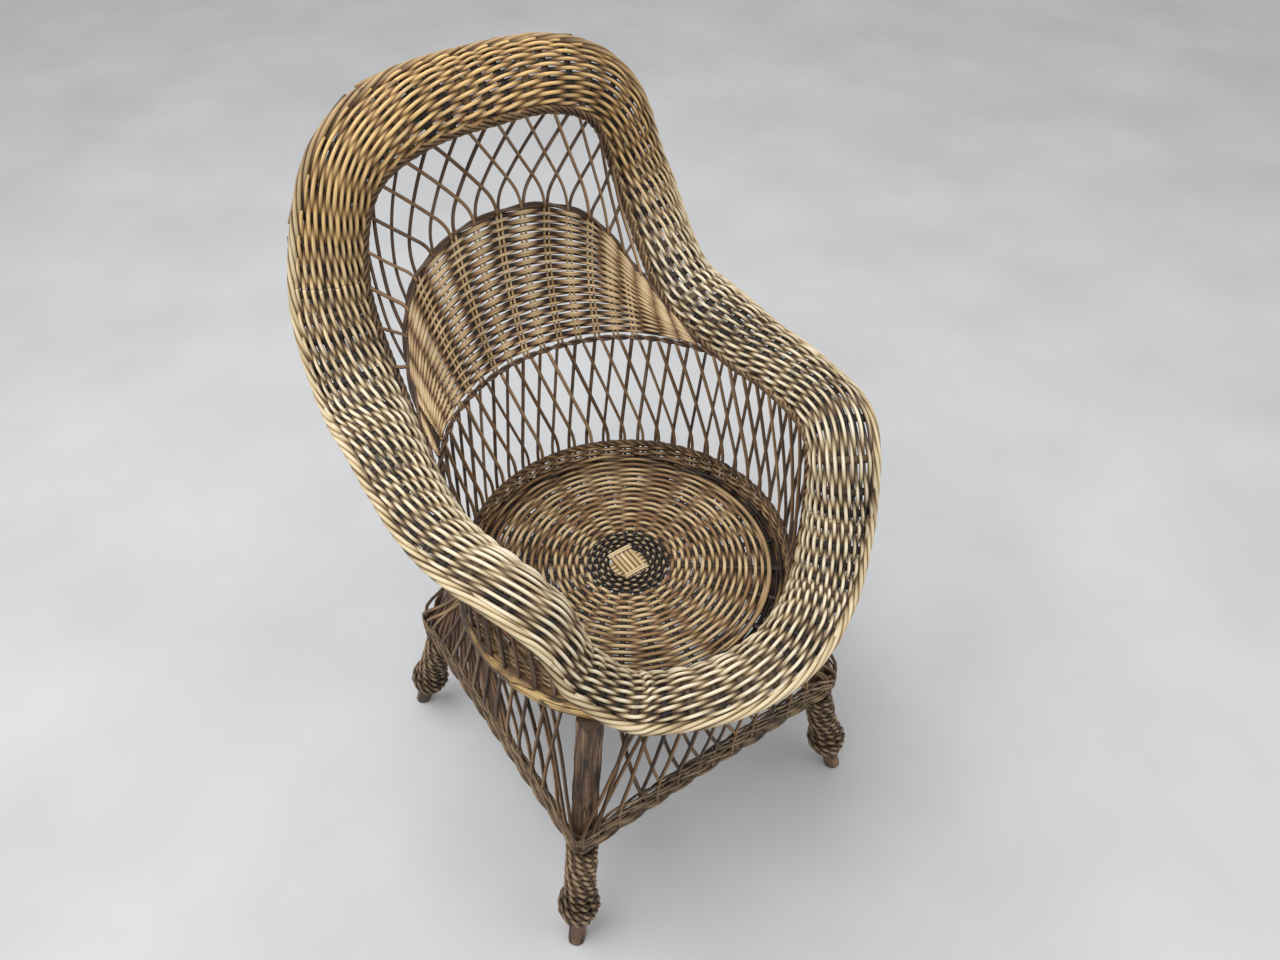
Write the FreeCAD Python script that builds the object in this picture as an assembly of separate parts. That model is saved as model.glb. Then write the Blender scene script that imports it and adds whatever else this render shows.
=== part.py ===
"""Woven willow tub armchair, built as separate wooden, rod and woven pieces.

Millimetres, +Z up, -Y to the front, +X to the right as seen from the front.
The chair is laid out about the middle of its round seat and moved at the end,
so that the origin is at the bottom centre of its bounding box.
"""
import FreeCAD
import Part
import math
import os

V = FreeCAD.Vector

# Driving sizes: overall heights
hoop_height = 390.0
wale_height = 34.0
rim_rise = 448.2

# Driving sizes: round wall and seat
hoop_radius = 203.0
hoop_tube_radius = 13.5
wall_margin = 3.0
wale_width = 10.0
seat_weave_thickness = 8.0
seat_spoke_radius = 3.0
seat_spoke_count = 24
seat_centre_radius = 51.0
cross_stick_radius = 3.0
cross_stick_count = 5
cross_stick_pitch = 6.4
cross_length = 46.0
cross_tie_width = 5.0
cross_tie_height = 2.0

# Driving sizes: legs and their windings
foot_radius = 11.5
foot_half_width = 229.0
foot_front = 210.0
foot_rear = 248.0
leg_top_margin = 11.5
leg_square = 26.0
leg_corner_radius = 8.0
leg_square_rise = 1.0
leg_saddle_depth = 9.0
leg_nail_radius = 1.5
leg_nail_depth = 30.0
leg_nail_sink = 2.5
wrap_tube_radius = 4.75
wrap_top_gap = 12.0
wrap_pitch = 11.3
wrap_turns = 12
wrap_bulge = 7.5
wrap_bulge_height = 74.0
wrap_bulge_spread = 17.0

# Driving sizes: skirt
rail_bottom_height = 198.0
rail_depth = 52.0
rail_thickness = 12.0
rail_edge_radius = 4.0
skirt_rod_pitch = 30.0
skirt_rod_side_gap = 6.0
skirt_leg_clear_angle = 38.5
corner_bend_radius = 8.5

# Driving sizes: wall rods, panel and rims
rod_radius = 2.1
rod_shortest = 25.0
wall_stations = 54
rim_tube_radius = 6.0
border_tube_radius = 4.0
arch_tube_radius = 4.0
outer_tube_radius = 7.0
panel_thickness = 6.0
panel_stake_radius = 2.0
panel_stake_spacing = 5.8
back_bulge = 30.0
roll_thickness = 10.0
roll_stake_radius = 2.0
roll_stake_count = 106
roll_station_step = 21.0
axis_step = 2.0
tube_station_step = 24.0
layer_gap = 1.6
clearance = 0.3
bend_clearance = 0.8
edge_clearance = 1.4

# Angles, in degrees, and shares of the sizes above
leg_top_angle = 46.0
junction_angle = 69.0
wall_lean_right = 4.7
wall_lean_left = 15.0
wall_pair_half_angle = 1.1
wall_phase_angle = -2.9
roll_centre_share = 0.1
rod_lean_right_share = 0.06
rod_lean_left_share = 0.14
skirt_top_angle = 45.0
border_share = 0.373
border_end_angle = 1.5
back_pair_step_share = 0.12
back_pair_closing_share = 0.025
back_pair_half_share = 0.009
back_pair_count = 7
back_lean_share = 0.24
back_lean_fall_share = 0.18
fan_linear_share = 0.55
arch_low_share = 0.45
arch_rise_share = 0.15
arch_span_share = 1.3
arch_end_rise_share = 0.07
arch_slope_share = 3.2
arch_end_share = 0.9
panel_end_share = 0.77
panel_pair_count = 6

# The rim's right half from the middle of the back to the middle of the front:
# across and forward or back as shares of wall_radius, and up as a share of the
# rise from the rim at the front to the rim at the top
rim_shares = (
    (0.0, 1.243, 1.0),
    (0.379, 1.248, 0.987),
    (0.67, 1.301, 0.906),
    (0.835, 1.272, 0.683),
    (0.879, 0.864, 0.424),
    (0.956, 0.364, 0.3525),
    (0.985, -0.024, 0.3525),
    (0.917, -0.427, 0.3525),
    (0.859, -0.544, 0.308),
    (0.791, -0.646, 0.163),
    (0.573, -0.816, 0.018),
    (0.243, -0.966, 0.0),
    (0.0, -1.0, 0.0),
)

# The roll's radius in millimetres and its turn in degrees, at six even steps
# along the rim from the middle of the back to the middle of the front
roll_radii = (55.0, 56.0, 48.0, 39.0, 41.0, 44.0)
roll_turns = (88.0, 74.0, 120.0, 133.0, 132.0, 134.0)

# Sizes that follow from the ones above
hoop_top = hoop_height + hoop_tube_radius
wale_top = hoop_top + wale_height
wall_radius = hoop_radius + wall_margin
rim_front_height = wale_top + rim_tube_radius + clearance
rim_top_height = rim_front_height + rim_rise
border_height = rim_front_height + border_share * rim_rise
seat_weave_bottom = hoop_top + 2 * seat_spoke_radius
wale_inner_radius = wall_radius - wale_width
leg_top_height = hoop_height - hoop_tube_radius + leg_saddle_depth
leg_top_radius = hoop_radius + leg_top_margin
rail_top = rail_bottom_height + rail_depth
leg_square_start = rail_bottom_height + leg_square_rise
wrap_start_height = rail_bottom_height - wrap_top_gap
lattice_offset = rod_radius + layer_gap / 2
station_angle = 360.0 / wall_stations


def polar(radius, angle, height):
    """A point at an angle from the back, turning towards +X."""
    turn = math.radians(angle)
    return V(radius * math.sin(turn), radius * math.cos(turn), height)


def blend(values, share):
    """A smooth curve through evenly spaced numbers, read at a share of its length."""
    place = min(max(share, 0.0), 1.0) * (len(values) - 1)
    index = min(int(place), len(values) - 2)
    part = place - index
    before = values[max(index - 1, 0)]
    start = values[index]
    end = values[index + 1]
    after = values[min(index + 2, len(values) - 1)]
    slope_start = (end - before) / 2
    slope_end = (after - start) / 2
    cubic = part ** 3
    square = part ** 2
    return (
        (2 * cubic - 3 * square + 1) * start
        + (cubic - 2 * square + part) * slope_start
        + (3 * square - 2 * cubic) * end
        + (cubic - square) * slope_end
    )


class ClosedCurve:
    """A smooth closed curve through points, read by the length along it."""

    def __init__(self, points, steps=40):
        self.points = points
        self.steps = steps
        count = len(points)
        self.places = [index / steps for index in range(count * steps + 1)]
        self.lengths = [0.0]
        last = self.at_place(0.0)
        for place in self.places[1:]:
            here = self.at_place(place)
            self.lengths.append(self.lengths[-1] + here.distanceToPoint(last))
            last = here
        self.length = self.lengths[-1]

    def at_place(self, place):
        """Centripetal Catmull-Rom position, one unit of place for each point."""
        count = len(self.points)
        index = int(math.floor(place))
        part = place - index
        before, start, end, after = (self.points[(index + step) % count] for step in (-1, 0, 1, 2))
        first = math.sqrt(start.distanceToPoint(before))
        middle = math.sqrt(end.distanceToPoint(start))
        last = math.sqrt(after.distanceToPoint(end))
        chord = (end - start) * (1 / middle)
        slope_start = (start - before) * (1 / first) - (end - before) * (1 / (first + middle)) + chord
        slope_end = chord - (after - start) * (1 / (middle + last)) + (after - end) * (1 / last)
        cubic = part ** 3
        square = part ** 2
        return (
            start * (2 * cubic - 3 * square + 1)
            + slope_start * (middle * (cubic - 2 * square + part))
            + end * (3 * square - 2 * cubic)
            + slope_end * (middle * (cubic - square))
        )

    def at(self, length):
        """The point at a length along the curve, wrapping round."""
        length = length % self.length
        low = 0
        high = len(self.lengths) - 1
        while high - low > 1:
            middle = (low + high) // 2
            if self.lengths[middle] <= length:
                low = middle
            else:
                high = middle
        span = self.lengths[high] - self.lengths[low]
        part = (length - self.lengths[low]) / span
        return self.at_place(self.places[low] + part / self.steps)

    def direction(self, length):
        """The unit tangent at a length along the curve."""
        step = self.length / len(self.lengths)
        return (self.at(length + step) - self.at(length - step)).normalize()


def rim_points():
    """The rim's control points, once round from the middle of the back."""
    half = []
    for across, back, up in rim_shares:
        half.append(V(across * wall_radius, back * wall_radius, rim_front_height + up * rim_rise))
    other = [V(-point.x, point.y, point.z) for point in half[-2:0:-1]]
    return half + other


rim = ClosedCurve(rim_points())
junction_point_count = 5
junction_length = rim.lengths[junction_point_count * rim.steps]
junction_height = rim.at(junction_length).z


def roll_frame(length):
    """Rim point, outward and rising directions, roll radius and turn."""
    point = rim.at(length)
    along = rim.direction(length)
    out = V(point.x, point.y - roll_centre_share * wall_radius, 0)
    rise = along.cross(out).normalize()
    out = rise.cross(along).normalize()
    place = length % rim.length
    share = min(place, rim.length - place) / (rim.length / 2)
    return point, out, rise, blend(roll_radii, share), math.radians(blend(roll_turns, share))


def roll_place(point, out, rise, radius, angle, lift):
    """A point on a roll section, for an angle from the rim."""
    centre = point + out * radius
    reach = radius + lift
    return centre - out * (reach * math.cos(angle)) + rise * (reach * math.sin(angle))


def edge_radius(angle):
    """The radius of the round wall's upper edge, at an angle from the back."""
    size = abs(angle)
    if size > junction_angle:
        point = rim.at(edge_length(size))
        return math.hypot(point.x, point.y)
    point = rim.at(junction_length)
    spread = math.hypot(point.x, point.y) - wall_radius
    return wall_radius + spread * (size / junction_angle) ** 4


def edge_length(size):
    """The length along the rim at which it passes an angle from the back."""
    low = junction_length
    high = rim.length / 2
    for _ in range(30):
        middle = (low + high) / 2
        point = rim.at(middle)
        if math.degrees(math.atan2(point.x, point.y)) < size:
            low = middle
        else:
            high = middle
    return low


def edge_height(angle):
    """The height of what closes the round wall, at an angle from the back."""
    size = abs(angle)
    if size <= junction_angle:
        return border_level(size)
    return rim.at(edge_length(size)).z


def border_level(angle):
    """The border's height at an angle from the back: it comes down to the rim."""
    return border_height - (border_height - junction_height) * abs(angle / junction_angle) ** 4


def wall_round(angle, height, lift):
    """A point of the round wall between the seat and its upper edge."""
    share = max(0.0, (height - wale_top) / (edge_height(angle) - wale_top))
    radius = wall_radius + (edge_radius(angle) - wall_radius) * share
    return polar(radius + lift, angle, height)


def wall_back(across, up, lift=0.0):
    """The leaning back wall: across from -1 to 1, up from the border to the rim."""
    side = 1 if across >= 0 else -1
    size = abs(across)
    angle = junction_angle * across
    foot = border_point(angle)
    reach = junction_length * (fan_linear_share * size + (1 - fan_linear_share) * size ** 3)
    top = rim.at(reach)
    top = V(top.x * side, top.y, top.z)
    rise_share = min(1.0, (top.z - foot.z) / (rim_top_height - foot.z))
    point = foot * (1 - up) + top * up
    point = point + V(0, 4 * back_bulge * up * (1 - up) * rise_share, 0)
    if lift:
        point = point + wall_normal(across, up) * lift
    return point


def wall_normal(across, up):
    """The unit direction from the back wall towards the sitter."""
    step = 0.01
    sideways = wall_back(across + step, up) - wall_back(across - step, up)
    upwards = wall_back(across, min(up + step, 1.0)) - wall_back(across, max(up - step, 0.0))
    return sideways.cross(upwards).normalize()


def wall_height(across):
    """The length of the back wall from the border to the rim."""
    return (wall_back(across, 1.0) - wall_back(across, 0.0)).Length


def wall_rise(across):
    """The upright height of the back wall from the border to the rim."""
    return wall_back(across, 1.0).z - wall_back(across, 0.0).z


def arch_up(across):
    """How far up the back wall the arch over the panel stands."""
    crown = arch_rise_share * math.cos(math.pi * across / arch_span_share)
    return arch_low_share + crown + arch_end_rise_share * across ** 4


def pair_across(index):
    """Where a pair of the upper back's rods leaves the arch, counted from its crown."""
    return back_pair_step_share * index * (1 - back_pair_closing_share * abs(index))


def border_across(index):
    """Where a pair of the round wall's rods meets the border, counted from the back."""
    return (index * station_angle + wall_phase_angle) / junction_angle


def biarc_edges(start, start_way, end, end_way):
    """Two tangent arcs from one point and direction to another."""
    gap = end - start
    both = start_way + end_way
    twist = 2 * (1 - start_way.dot(end_way))
    along = gap.dot(both)
    square = gap.dot(gap)
    if twist > 1e-9:
        reach = (math.sqrt(along * along + twist * square) - along) / twist
    else:
        reach = square / (2 * along)
    first = start + start_way * reach
    second = end - end_way * reach
    middle = (first + second) * 0.5
    return [arc_edge(start, first, middle), arc_edge(middle, second, end)]


def arc_edge(start, corner, end):
    """The arc that leaves start towards corner and reaches end from it."""
    middle = (start + end) * 0.5
    height = (corner - middle).Length
    half = (end - start).Length / 2
    if height < half * 1e-4:
        return Part.LineSegment(start, end).toShape()
    bow = half * math.tan(math.atan2(height, half) / 2)
    return Part.Arc(start, middle + (corner - middle) * (bow / height), end).toShape()


def sweep(edges, start, way, radius):
    """A round tube along tangent edges."""
    profile = Part.Wire(Part.Circle(start, way, radius).toShape())
    return Part.Wire(edges).makePipeShell([profile], True, False)


def tube(points, ways, radius):
    """A round tube through points with given directions, on tangent arcs."""
    edges = []
    for index in range(len(points) - 1):
        edges += biarc_edges(points[index], ways[index], points[index + 1], ways[index + 1])
    return sweep(edges, points[0], ways[0], radius)


def curve_tube(place, start, end, count, radius):
    """A round tube along a curve given by a function of one number."""
    step = (end - start) / count
    points = [place(start + step * index) for index in range(count + 1)]
    ways = []
    for index in range(count + 1):
        here = start + step * index
        ways.append((place(here + step / 10) - place(here - step / 10)).normalize())
    return tube(points, ways, radius)


def bent_rod(start, middle, end, radius):
    """A rod bent to one arc through three points."""
    arc = Part.Arc(start, middle, end)
    way = V(*arc.tangent(arc.FirstParameter)[0])
    return sweep([arc.toShape()], start, way, radius)


def axis_points(place, start, end):
    """Closely spaced points of a tube's middle line, from a function of one number."""
    chords = 40
    step = (end - start) / chords
    corners = [place(start + step * index) for index in range(chords + 1)]
    length = sum(corner.distanceToPoint(other) for corner, other in zip(corners, corners[1:]))
    count = int(length / axis_step) + 1
    return [place(start + (end - start) * index / count) for index in range(count + 1)]


def end_gap(place, share, radius, axis):
    """The least distance from a rod's flat end to a tube's middle line."""
    centre = place(share)
    way = (place(share + 0.01) - place(share - 0.01)).normalize()
    across = way.cross(V(way.y, way.z, way.x)).normalize()
    ahead = way.cross(across)
    gap = None
    for turn in range(8):
        angle = turn * math.pi / 4
        point = centre + across * (radius * math.cos(angle)) + ahead * (radius * math.sin(angle))
        nearest = min(point.distanceToPoint(other) for other in axis)
        if gap is None or nearest < gap:
            gap = nearest
    return gap


def clear_share(place, end, radius, tubes):
    """How far a rod can run towards one end before it meets one of some tubes."""
    reach = place(end)
    span = place(0.5).distanceToPoint(reach)
    near = []
    for tube_radius, axis in tubes:
        points = [point for point in axis if point.distanceToPoint(reach) < span]
        if points:
            near.append((tube_radius + clearance, points))

    def is_clear(share):
        return all(end_gap(place, share, radius, points) > reach for reach, points in near)

    steps = 24
    clear = 0.5
    for index in range(1, steps + 1):
        blocked = 0.5 + (end - 0.5) * index / steps
        if not is_clear(blocked):
            break
        clear = blocked
    for _ in range(6):
        middle = (clear + blocked) / 2
        if is_clear(middle):
            clear = middle
        else:
            blocked = middle
    return clear


def level_share(place, radius):
    """How far from its start a leaning rod's end clears the flat face it stands on."""
    way = place(0.05) - place(0.0)
    lean = math.hypot(way.x, way.y) / way.z
    return (radius * lean + clearance / 2) / (place(1.0) - place(0.0)).Length


def surface_rod(place, first, last, radius):
    """A rod along a surface between two shares of its length, straight if it can be."""
    start = place(first)
    middle = place((first + last) / 2)
    end = place(last)
    if middle.distanceToPoint((start + end) * 0.5) < clearance:
        return Part.makeCylinder(radius, (end - start).Length, start, end - start)
    return bent_rod(start, middle, end, radius)


def ring(inner, outer, bottom, height):
    """A flat round ring."""
    blank = Part.makeCylinder(outer, height, V(0, 0, bottom))
    return blank.cut(Part.makeCylinder(inner, height, V(0, 0, bottom)))


def leg_points(side, front):
    """The foot's and the top's middle, for a side of 1 or -1."""
    foot = V(side * foot_half_width, -foot_front if front else foot_rear, 0)
    angle = 180 - leg_top_angle if front else leg_top_angle
    top = polar(leg_top_radius, side * angle, leg_top_height)
    return foot, top


def leg_at(side, front, height):
    """The middle of a leg at a height."""
    foot, top = leg_points(side, front)
    return foot + (top - foot) * (height / leg_top_height)


def rounded_square(middle, width, corner):
    """A level square face with round corners."""
    half = width / 2
    flat = half - corner
    points = []
    edges = []
    for turn in (0, 1, 2, 3):
        way = V(round(math.cos(turn * math.pi / 2)), round(math.sin(turn * math.pi / 2)), 0)
        left = V(-way.y, way.x, 0)
        centre = middle + way * flat + left * flat
        face = middle + way * half
        points.append((face - left * flat, face + left * flat, centre, way, left))
    for index in (0, 1, 2, 3):
        start, end, centre, way, left = points[index]
        edges.append(Part.LineSegment(start, end).toShape())
        bow = centre + (way + left) * (corner / math.sqrt(2))
        edges.append(Part.Arc(end, bow, points[(index + 1) % 4][0]).toShape())
    return Part.Face(Part.Wire(edges))


def make_leg(side, front, hoop):
    """A post: a round foot, a squared upper part and a saddle under the hoop."""
    foot, top = leg_points(side, front)
    slope = (top - foot) * (1 / leg_top_height)
    circle = Part.Circle(foot, V(0, 0, 1), foot_radius)
    lower = Part.Face(Part.Wire(circle.toShape())).extrude(slope * leg_square_start)
    start = leg_at(side, front, leg_square_start)
    upper = rounded_square(start, leg_square, leg_corner_radius).extrude(top - start)
    nail = make_nail(side, front)
    return lower.fuse(upper).removeSplitter().cut(hoop).cut(nail)


def make_nail(side, front):
    """A wire nail sunk into the hoop and driven down into the leg's top, along the leg."""
    foot, top = leg_points(side, front)
    axis = (top - foot).normalize()
    middle = V(top.x, top.y, 0) * (hoop_radius / leg_top_radius) + V(0, 0, hoop_height)
    length = leg_nail_depth + hoop_tube_radius - leg_nail_sink
    return Part.makeCylinder(leg_nail_radius, length, middle - axis * leg_nail_depth, axis)


def make_wrap(side, front):
    """The winding on a leg: one unbroken tube that swells above the foot."""
    foot, top = leg_points(side, front)
    axis = (top - foot).normalize()
    across = V(0, 1, 0).cross(axis).normalize()
    ahead = axis.cross(across)
    base_radius = foot_radius + clearance + wrap_tube_radius
    quarter = 4

    def place(turns):
        height = wrap_start_height - turns * wrap_pitch
        swell = math.exp(-((height - wrap_bulge_height) / wrap_bulge_spread) ** 2)
        radius = base_radius + wrap_bulge * swell
        angle = 2 * math.pi * turns
        middle = foot + axis * height
        return middle + across * (radius * math.cos(angle)) + ahead * (radius * math.sin(angle))

    step = 1 / quarter
    points = []
    ways = []
    for index in range(wrap_turns * quarter + 1):
        turns = index * step
        points.append(place(turns))
        ways.append((place(turns + step / 20) - place(turns - step / 20)).normalize())
    lead = 2 * wrap_tube_radius
    edges = [Part.LineSegment(points[0] - ways[0] * lead, points[0]).toShape()]
    for index in range(len(points) - 1):
        edges += biarc_edges(points[index], ways[index], points[index + 1], ways[index + 1])
    edges.append(Part.LineSegment(points[-1], points[-1] + ways[-1] * lead).toShape())
    winding = sweep(edges, points[0] - ways[0] * lead, ways[0], wrap_tube_radius)
    return winding, least_gap(place)


def least_gap(place):
    """The least gap between neighbouring turns of a winding, measured on points."""
    samples = 24
    points = [place(index / samples) for index in range(wrap_turns * samples + 1)]
    nearest = None
    for index, point in enumerate(points):
        for other in points[index + samples // 2:index + 2 * samples]:
            distance = point.distanceToPoint(other)
            if nearest is None or distance < nearest:
                nearest = distance
    return nearest - 2 * wrap_tube_radius


def make_pad(side, front):
    """The plain swelling under a winding, whose outside follows the winding's inside."""
    foot, top = leg_points(side, front)
    axis = (top - foot).normalize()
    sections = []
    reach = 1.6 * wrap_bulge_spread
    count = 8
    for index in range(count + 1):
        height = wrap_bulge_height - reach + 2 * reach * index / count
        swell = math.exp(-((height - wrap_bulge_height) / wrap_bulge_spread) ** 2)
        radius = foot_radius + clearance + (wrap_bulge - 3 * clearance) * swell
        sections.append(Part.Wire(Part.Circle(foot + axis * height, axis, radius).toShape()))
    blank = Part.makeLoft(sections, True, False)
    bore_foot = foot + axis * (wrap_bulge_height - 2 * reach)
    bore = Part.makeCylinder(foot_radius + clearance / 3, 4 * reach, bore_foot, axis)
    return blank.cut(bore)


def rail_line(side_name):
    """Start and end of a rail's middle line, and its outward direction."""
    corner = {}
    low = rail_bottom_height
    for side in (1, -1):
        for front in (True, False):
            middle = leg_at(side, front, low)
            reach = leg_square / 2 + clearance + rail_thickness / 2
            corner[side, front] = V(middle.x + side * reach, middle.y + (-reach if front else reach), low)
    ends = {
        "front": ((-1, True), (1, True), V(0, -1, 0)),
        "right": ((1, True), (1, False), V(1, 0, 0)),
        "rear": ((1, False), (-1, False), V(0, 1, 0)),
        "left": ((-1, False), (-1, True), V(-1, 0, 0)),
    }
    first, second, out = ends[side_name]
    return corner[first], corner[second], out


def corner_inset():
    """How far a corner piece's bend starts from the rails' crossing."""
    return corner_bend_radius + rail_thickness / 2


def make_rail(side_name):
    """A skirt rail: a deep band with rounded edges between two corner pieces."""
    start, end, out = rail_line(side_name)
    along = (end - start).normalize()
    start = start + along * corner_inset()
    end = end - along * corner_inset()
    inner = start - out * (rail_thickness / 2)
    blank = Part.makeBox(
        (end - start).Length, rail_thickness, rail_depth, V(0, 0, 0), V(0, 0, 1)
    )
    turn = FreeCAD.Rotation(V(1, 0, 0), along)
    blank.Placement = FreeCAD.Placement(inner, turn)
    if turn.multVec(V(0, 1, 0)).dot(out) < 0:
        blank.Placement = FreeCAD.Placement(inner + out * rail_thickness, turn)
    long_edges = [edge for edge in blank.Edges if abs(edge.tangentAt(0).dot(along)) > 0.9]
    return blank.makeFillet(rail_edge_radius, long_edges)


def make_corner(side, front):
    """The bend of the skirt's edge round the outside of a leg."""
    front_name = "front" if front else "rear"
    side_name = "right" if side > 0 else "left"
    start, end, out = rail_line(front_name)
    crossing = end if (start - end).x * side < 0 else start
    other_out = rail_line(side_name)[2]
    centre = crossing - (out + other_out) * corner_inset()
    inner = centre + out * corner_bend_radius
    section = rounded_band(inner, out, rail_thickness, rail_depth, rail_edge_radius)
    turn = 90.0 if out.cross(other_out).z > 0 else -90.0
    return section.revolve(centre, V(0, 0, 1), turn)


def rounded_band(inner, out, thickness, depth, radius):
    """An upright section face with rounded corners, growing outward from inner."""
    up = V(0, 0, 1)
    corners = (
        inner,
        inner + out * thickness,
        inner + out * thickness + up * depth,
        inner + up * depth,
    )
    ways = (out, up, out * -1, up * -1)
    edges = []
    for index in (0, 1, 2, 3):
        way = ways[index]
        next_way = ways[(index + 1) % 4]
        start = corners[index] + way * radius
        end = corners[(index + 1) % 4] - way * radius
        after = corners[(index + 1) % 4] + next_way * radius
        bow = corners[(index + 1) % 4] + (next_way - way) * (radius * (1 - math.sqrt(0.5)))
        edges.append(Part.LineSegment(start, end).toShape())
        edges.append(Part.Arc(end, bow, after).toShape())
    return Part.Face(Part.Wire(edges))


def standing_rod(place, tubes):
    """A rod that stands on a flat face and ends at a tube above it."""
    last = clear_share(place, 1.0, rod_radius, tubes)
    return surface_rod(place, level_share(place, rod_radius), last, rod_radius)


def skirt_rods(side_name):
    """Two crossing layers of rods from under the hoop to a rail's top."""
    start, end, out = rail_line(side_name)
    along = (end - start).normalize()
    length = (end - start).Length
    count = int((length - 2 * corner_inset() - 2 * skirt_rod_side_gap) / skirt_rod_pitch)
    middle_angle = math.degrees(math.atan2(out.x, out.y))
    direction = 1 if polar(1, middle_angle + 1, 0).dot(along) > 0 else -1
    head_height = hoop_height - hoop_tube_radius / 2
    rods = []
    for layer, lean in ((1, rod_lean_right_share), (-1, -rod_lean_left_share)):
        offset = layer * lattice_offset

        def place(share, up, offset=offset):
            foot = start + along * (share * length) + out * offset
            foot = V(foot.x, foot.y, rail_top)
            angle = (2 * share - 1) * skirt_top_angle
            head = polar(hoop_radius + offset, middle_angle + direction * angle, head_height)
            return foot * (1 - up) + head * up

        for index in range(count + 1):
            share = 0.5 + (index - count / 2) * skirt_rod_pitch / length
            angle = (2 * (share + lean) - 1) * skirt_top_angle
            if abs(angle) > skirt_leg_clear_angle:
                continue
            rods.append(standing_rod(lambda up: place(share + lean * up, up), hoop_tubes))
    return rods


def make_seat_cross(upper):
    """Five straight sticks side by side at the seat's middle."""
    sticks = []
    level = hoop_top + cross_stick_radius
    if upper:
        level = level + 2 * cross_stick_radius
    for index in range(cross_stick_count):
        shift = (index - (cross_stick_count - 1) / 2) * cross_stick_pitch
        if upper:
            foot = V(shift, -cross_length / 2, level)
            way = V(0, 1, 0)
        else:
            foot = V(-cross_length / 2, shift, level)
            way = V(1, 0, 0)
        sticks.append(Part.makeCylinder(cross_stick_radius, cross_length, foot, way))
    return sticks


def make_seat_ties():
    """The two bindings across the ends of the upper sticks."""
    width = cross_stick_count * cross_stick_pitch
    ties = []
    level = hoop_top + 4 * cross_stick_radius
    for side in (1, -1):
        near = side * cross_length / 2 - (cross_tie_width if side > 0 else 0)
        ties.append(Part.makeBox(width, cross_tie_width, cross_tie_height, V(-width / 2, near, level)))
    return ties


def make_seat_weave(inner, outer):
    """A flat woven ring that lies on the spokes."""
    return ring(inner, outer, seat_weave_bottom, seat_weave_thickness)


def make_seat_centre():
    """The tight weave round the crossed sticks, with their square recess."""
    half = cross_length / 2 + clearance
    radius = seat_centre_radius - clearance / 3
    blank = Part.makeCylinder(radius, seat_weave_thickness, V(0, 0, seat_weave_bottom))
    recess = Part.makeBox(2 * half, 2 * half, seat_weave_thickness, V(-half, -half, seat_weave_bottom))
    return blank.cut(recess)


def make_spokes():
    """Radial spokes from the crossed sticks to the edge wale, lying on the hoop."""
    spokes = []
    inner = cross_length / math.sqrt(2) + seat_spoke_radius + clearance
    outer = hoop_radius
    level = hoop_top + seat_spoke_radius
    for index in range(seat_spoke_count):
        angle = spoke_angle(index)
        foot = polar(inner, angle, level)
        spokes.append(Part.makeCylinder(seat_spoke_radius, outer - inner, foot, polar(1, angle, 0)))
    return spokes


def spoke_angle(index):
    """The angle of a seat spoke from the back, in degrees."""
    return 360.0 * (index + 0.5) / seat_spoke_count


def make_edge_wale():
    """The woven ring round the seat, standing on the hoop over the spokes' ends."""
    wale = ring(wale_inner_radius, wall_radius, hoop_top, wale_height)
    half = seat_spoke_radius + clearance
    outer = hoop_radius + clearance
    depth = 2 * (outer - wale_inner_radius)
    for index in range(seat_spoke_count):
        corner = V(-half, outer - depth, hoop_top - clearance)
        notch = Part.makeBox(2 * half, depth, 2 * half, corner)
        notch.rotate(V(0, 0, 0), V(0, 0, 1), -spoke_angle(index))
        wale = wale.cut(notch)
    return wale


def wall_rods(lean, layer):
    """Rods of the round wall that lean one way, up to the border or the rim."""
    rods = []
    lift = layer * lattice_offset
    rise = border_height - wale_top
    low_height = wale_top if layer < 0 else hoop_height + hoop_tube_radius / 2
    for index in range(wall_stations):
        head_angle = index * station_angle + wall_phase_angle - math.copysign(wall_pair_half_angle, lean)
        start_angle = head_angle - lean
        low = 0.0
        high = 1.0
        for _ in range(20):
            middle = (low + high) / 2
            if edge_height(signed(start_angle + lean * middle)) > wale_top + rise * middle:
                low = middle
            else:
                high = middle
        head_height = wale_top + rise * low

        def place(share):
            height = low_height + (head_height - low_height) * share
            return wall_round(signed(start_angle + lean * (height - wale_top) / rise), height, lift)

        if (place(1.0) - place(0.0)).Length < 2 * rod_shortest:
            continue
        if layer < 0:
            rods.append(standing_rod(place, edge_tubes))
        else:
            first = clear_share(place, 0.0, rod_radius, hoop_tubes)
            last = clear_share(place, 1.0, rod_radius, edge_tubes)
            if place(first).distanceToPoint(place(last)) > rod_shortest:
                rods.append(surface_rod(place, first, last, rod_radius))
    return rods


def signed(angle):
    """The same angle between -180 and 180 degrees."""
    return (angle + 180) % 360 - 180


def arch_point(across):
    """A point on the arch over the woven panel."""
    return wall_back(across, arch_up(across))


def back_rods(side):
    """Rods of the upper back that lean one way, from the arch to the rim."""
    rods = []
    lift = -side * lattice_offset
    for index in range(-back_pair_count, back_pair_count + 1):
        start = pair_across(index) + side * back_pair_half_share
        lean = side * (back_lean_share - back_lean_fall_share * abs(start))
        if abs(start + lean) > arch_end_share:
            continue
        low = arch_up(start) * wall_rise(start)
        high = wall_rise(start + lean)

        def place(share):
            across = start + lean * share
            return wall_back(across, (low + (high - low) * share) / wall_rise(across), lift)

        first = clear_share(place, 0.0, rod_radius, arch_tubes)
        last = clear_share(place, 1.0, rod_radius, edge_tubes)
        if place(first).distanceToPoint(place(last)) > rod_shortest:
            rods.append(surface_rod(place, first, last, rod_radius))
    return rods


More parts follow.
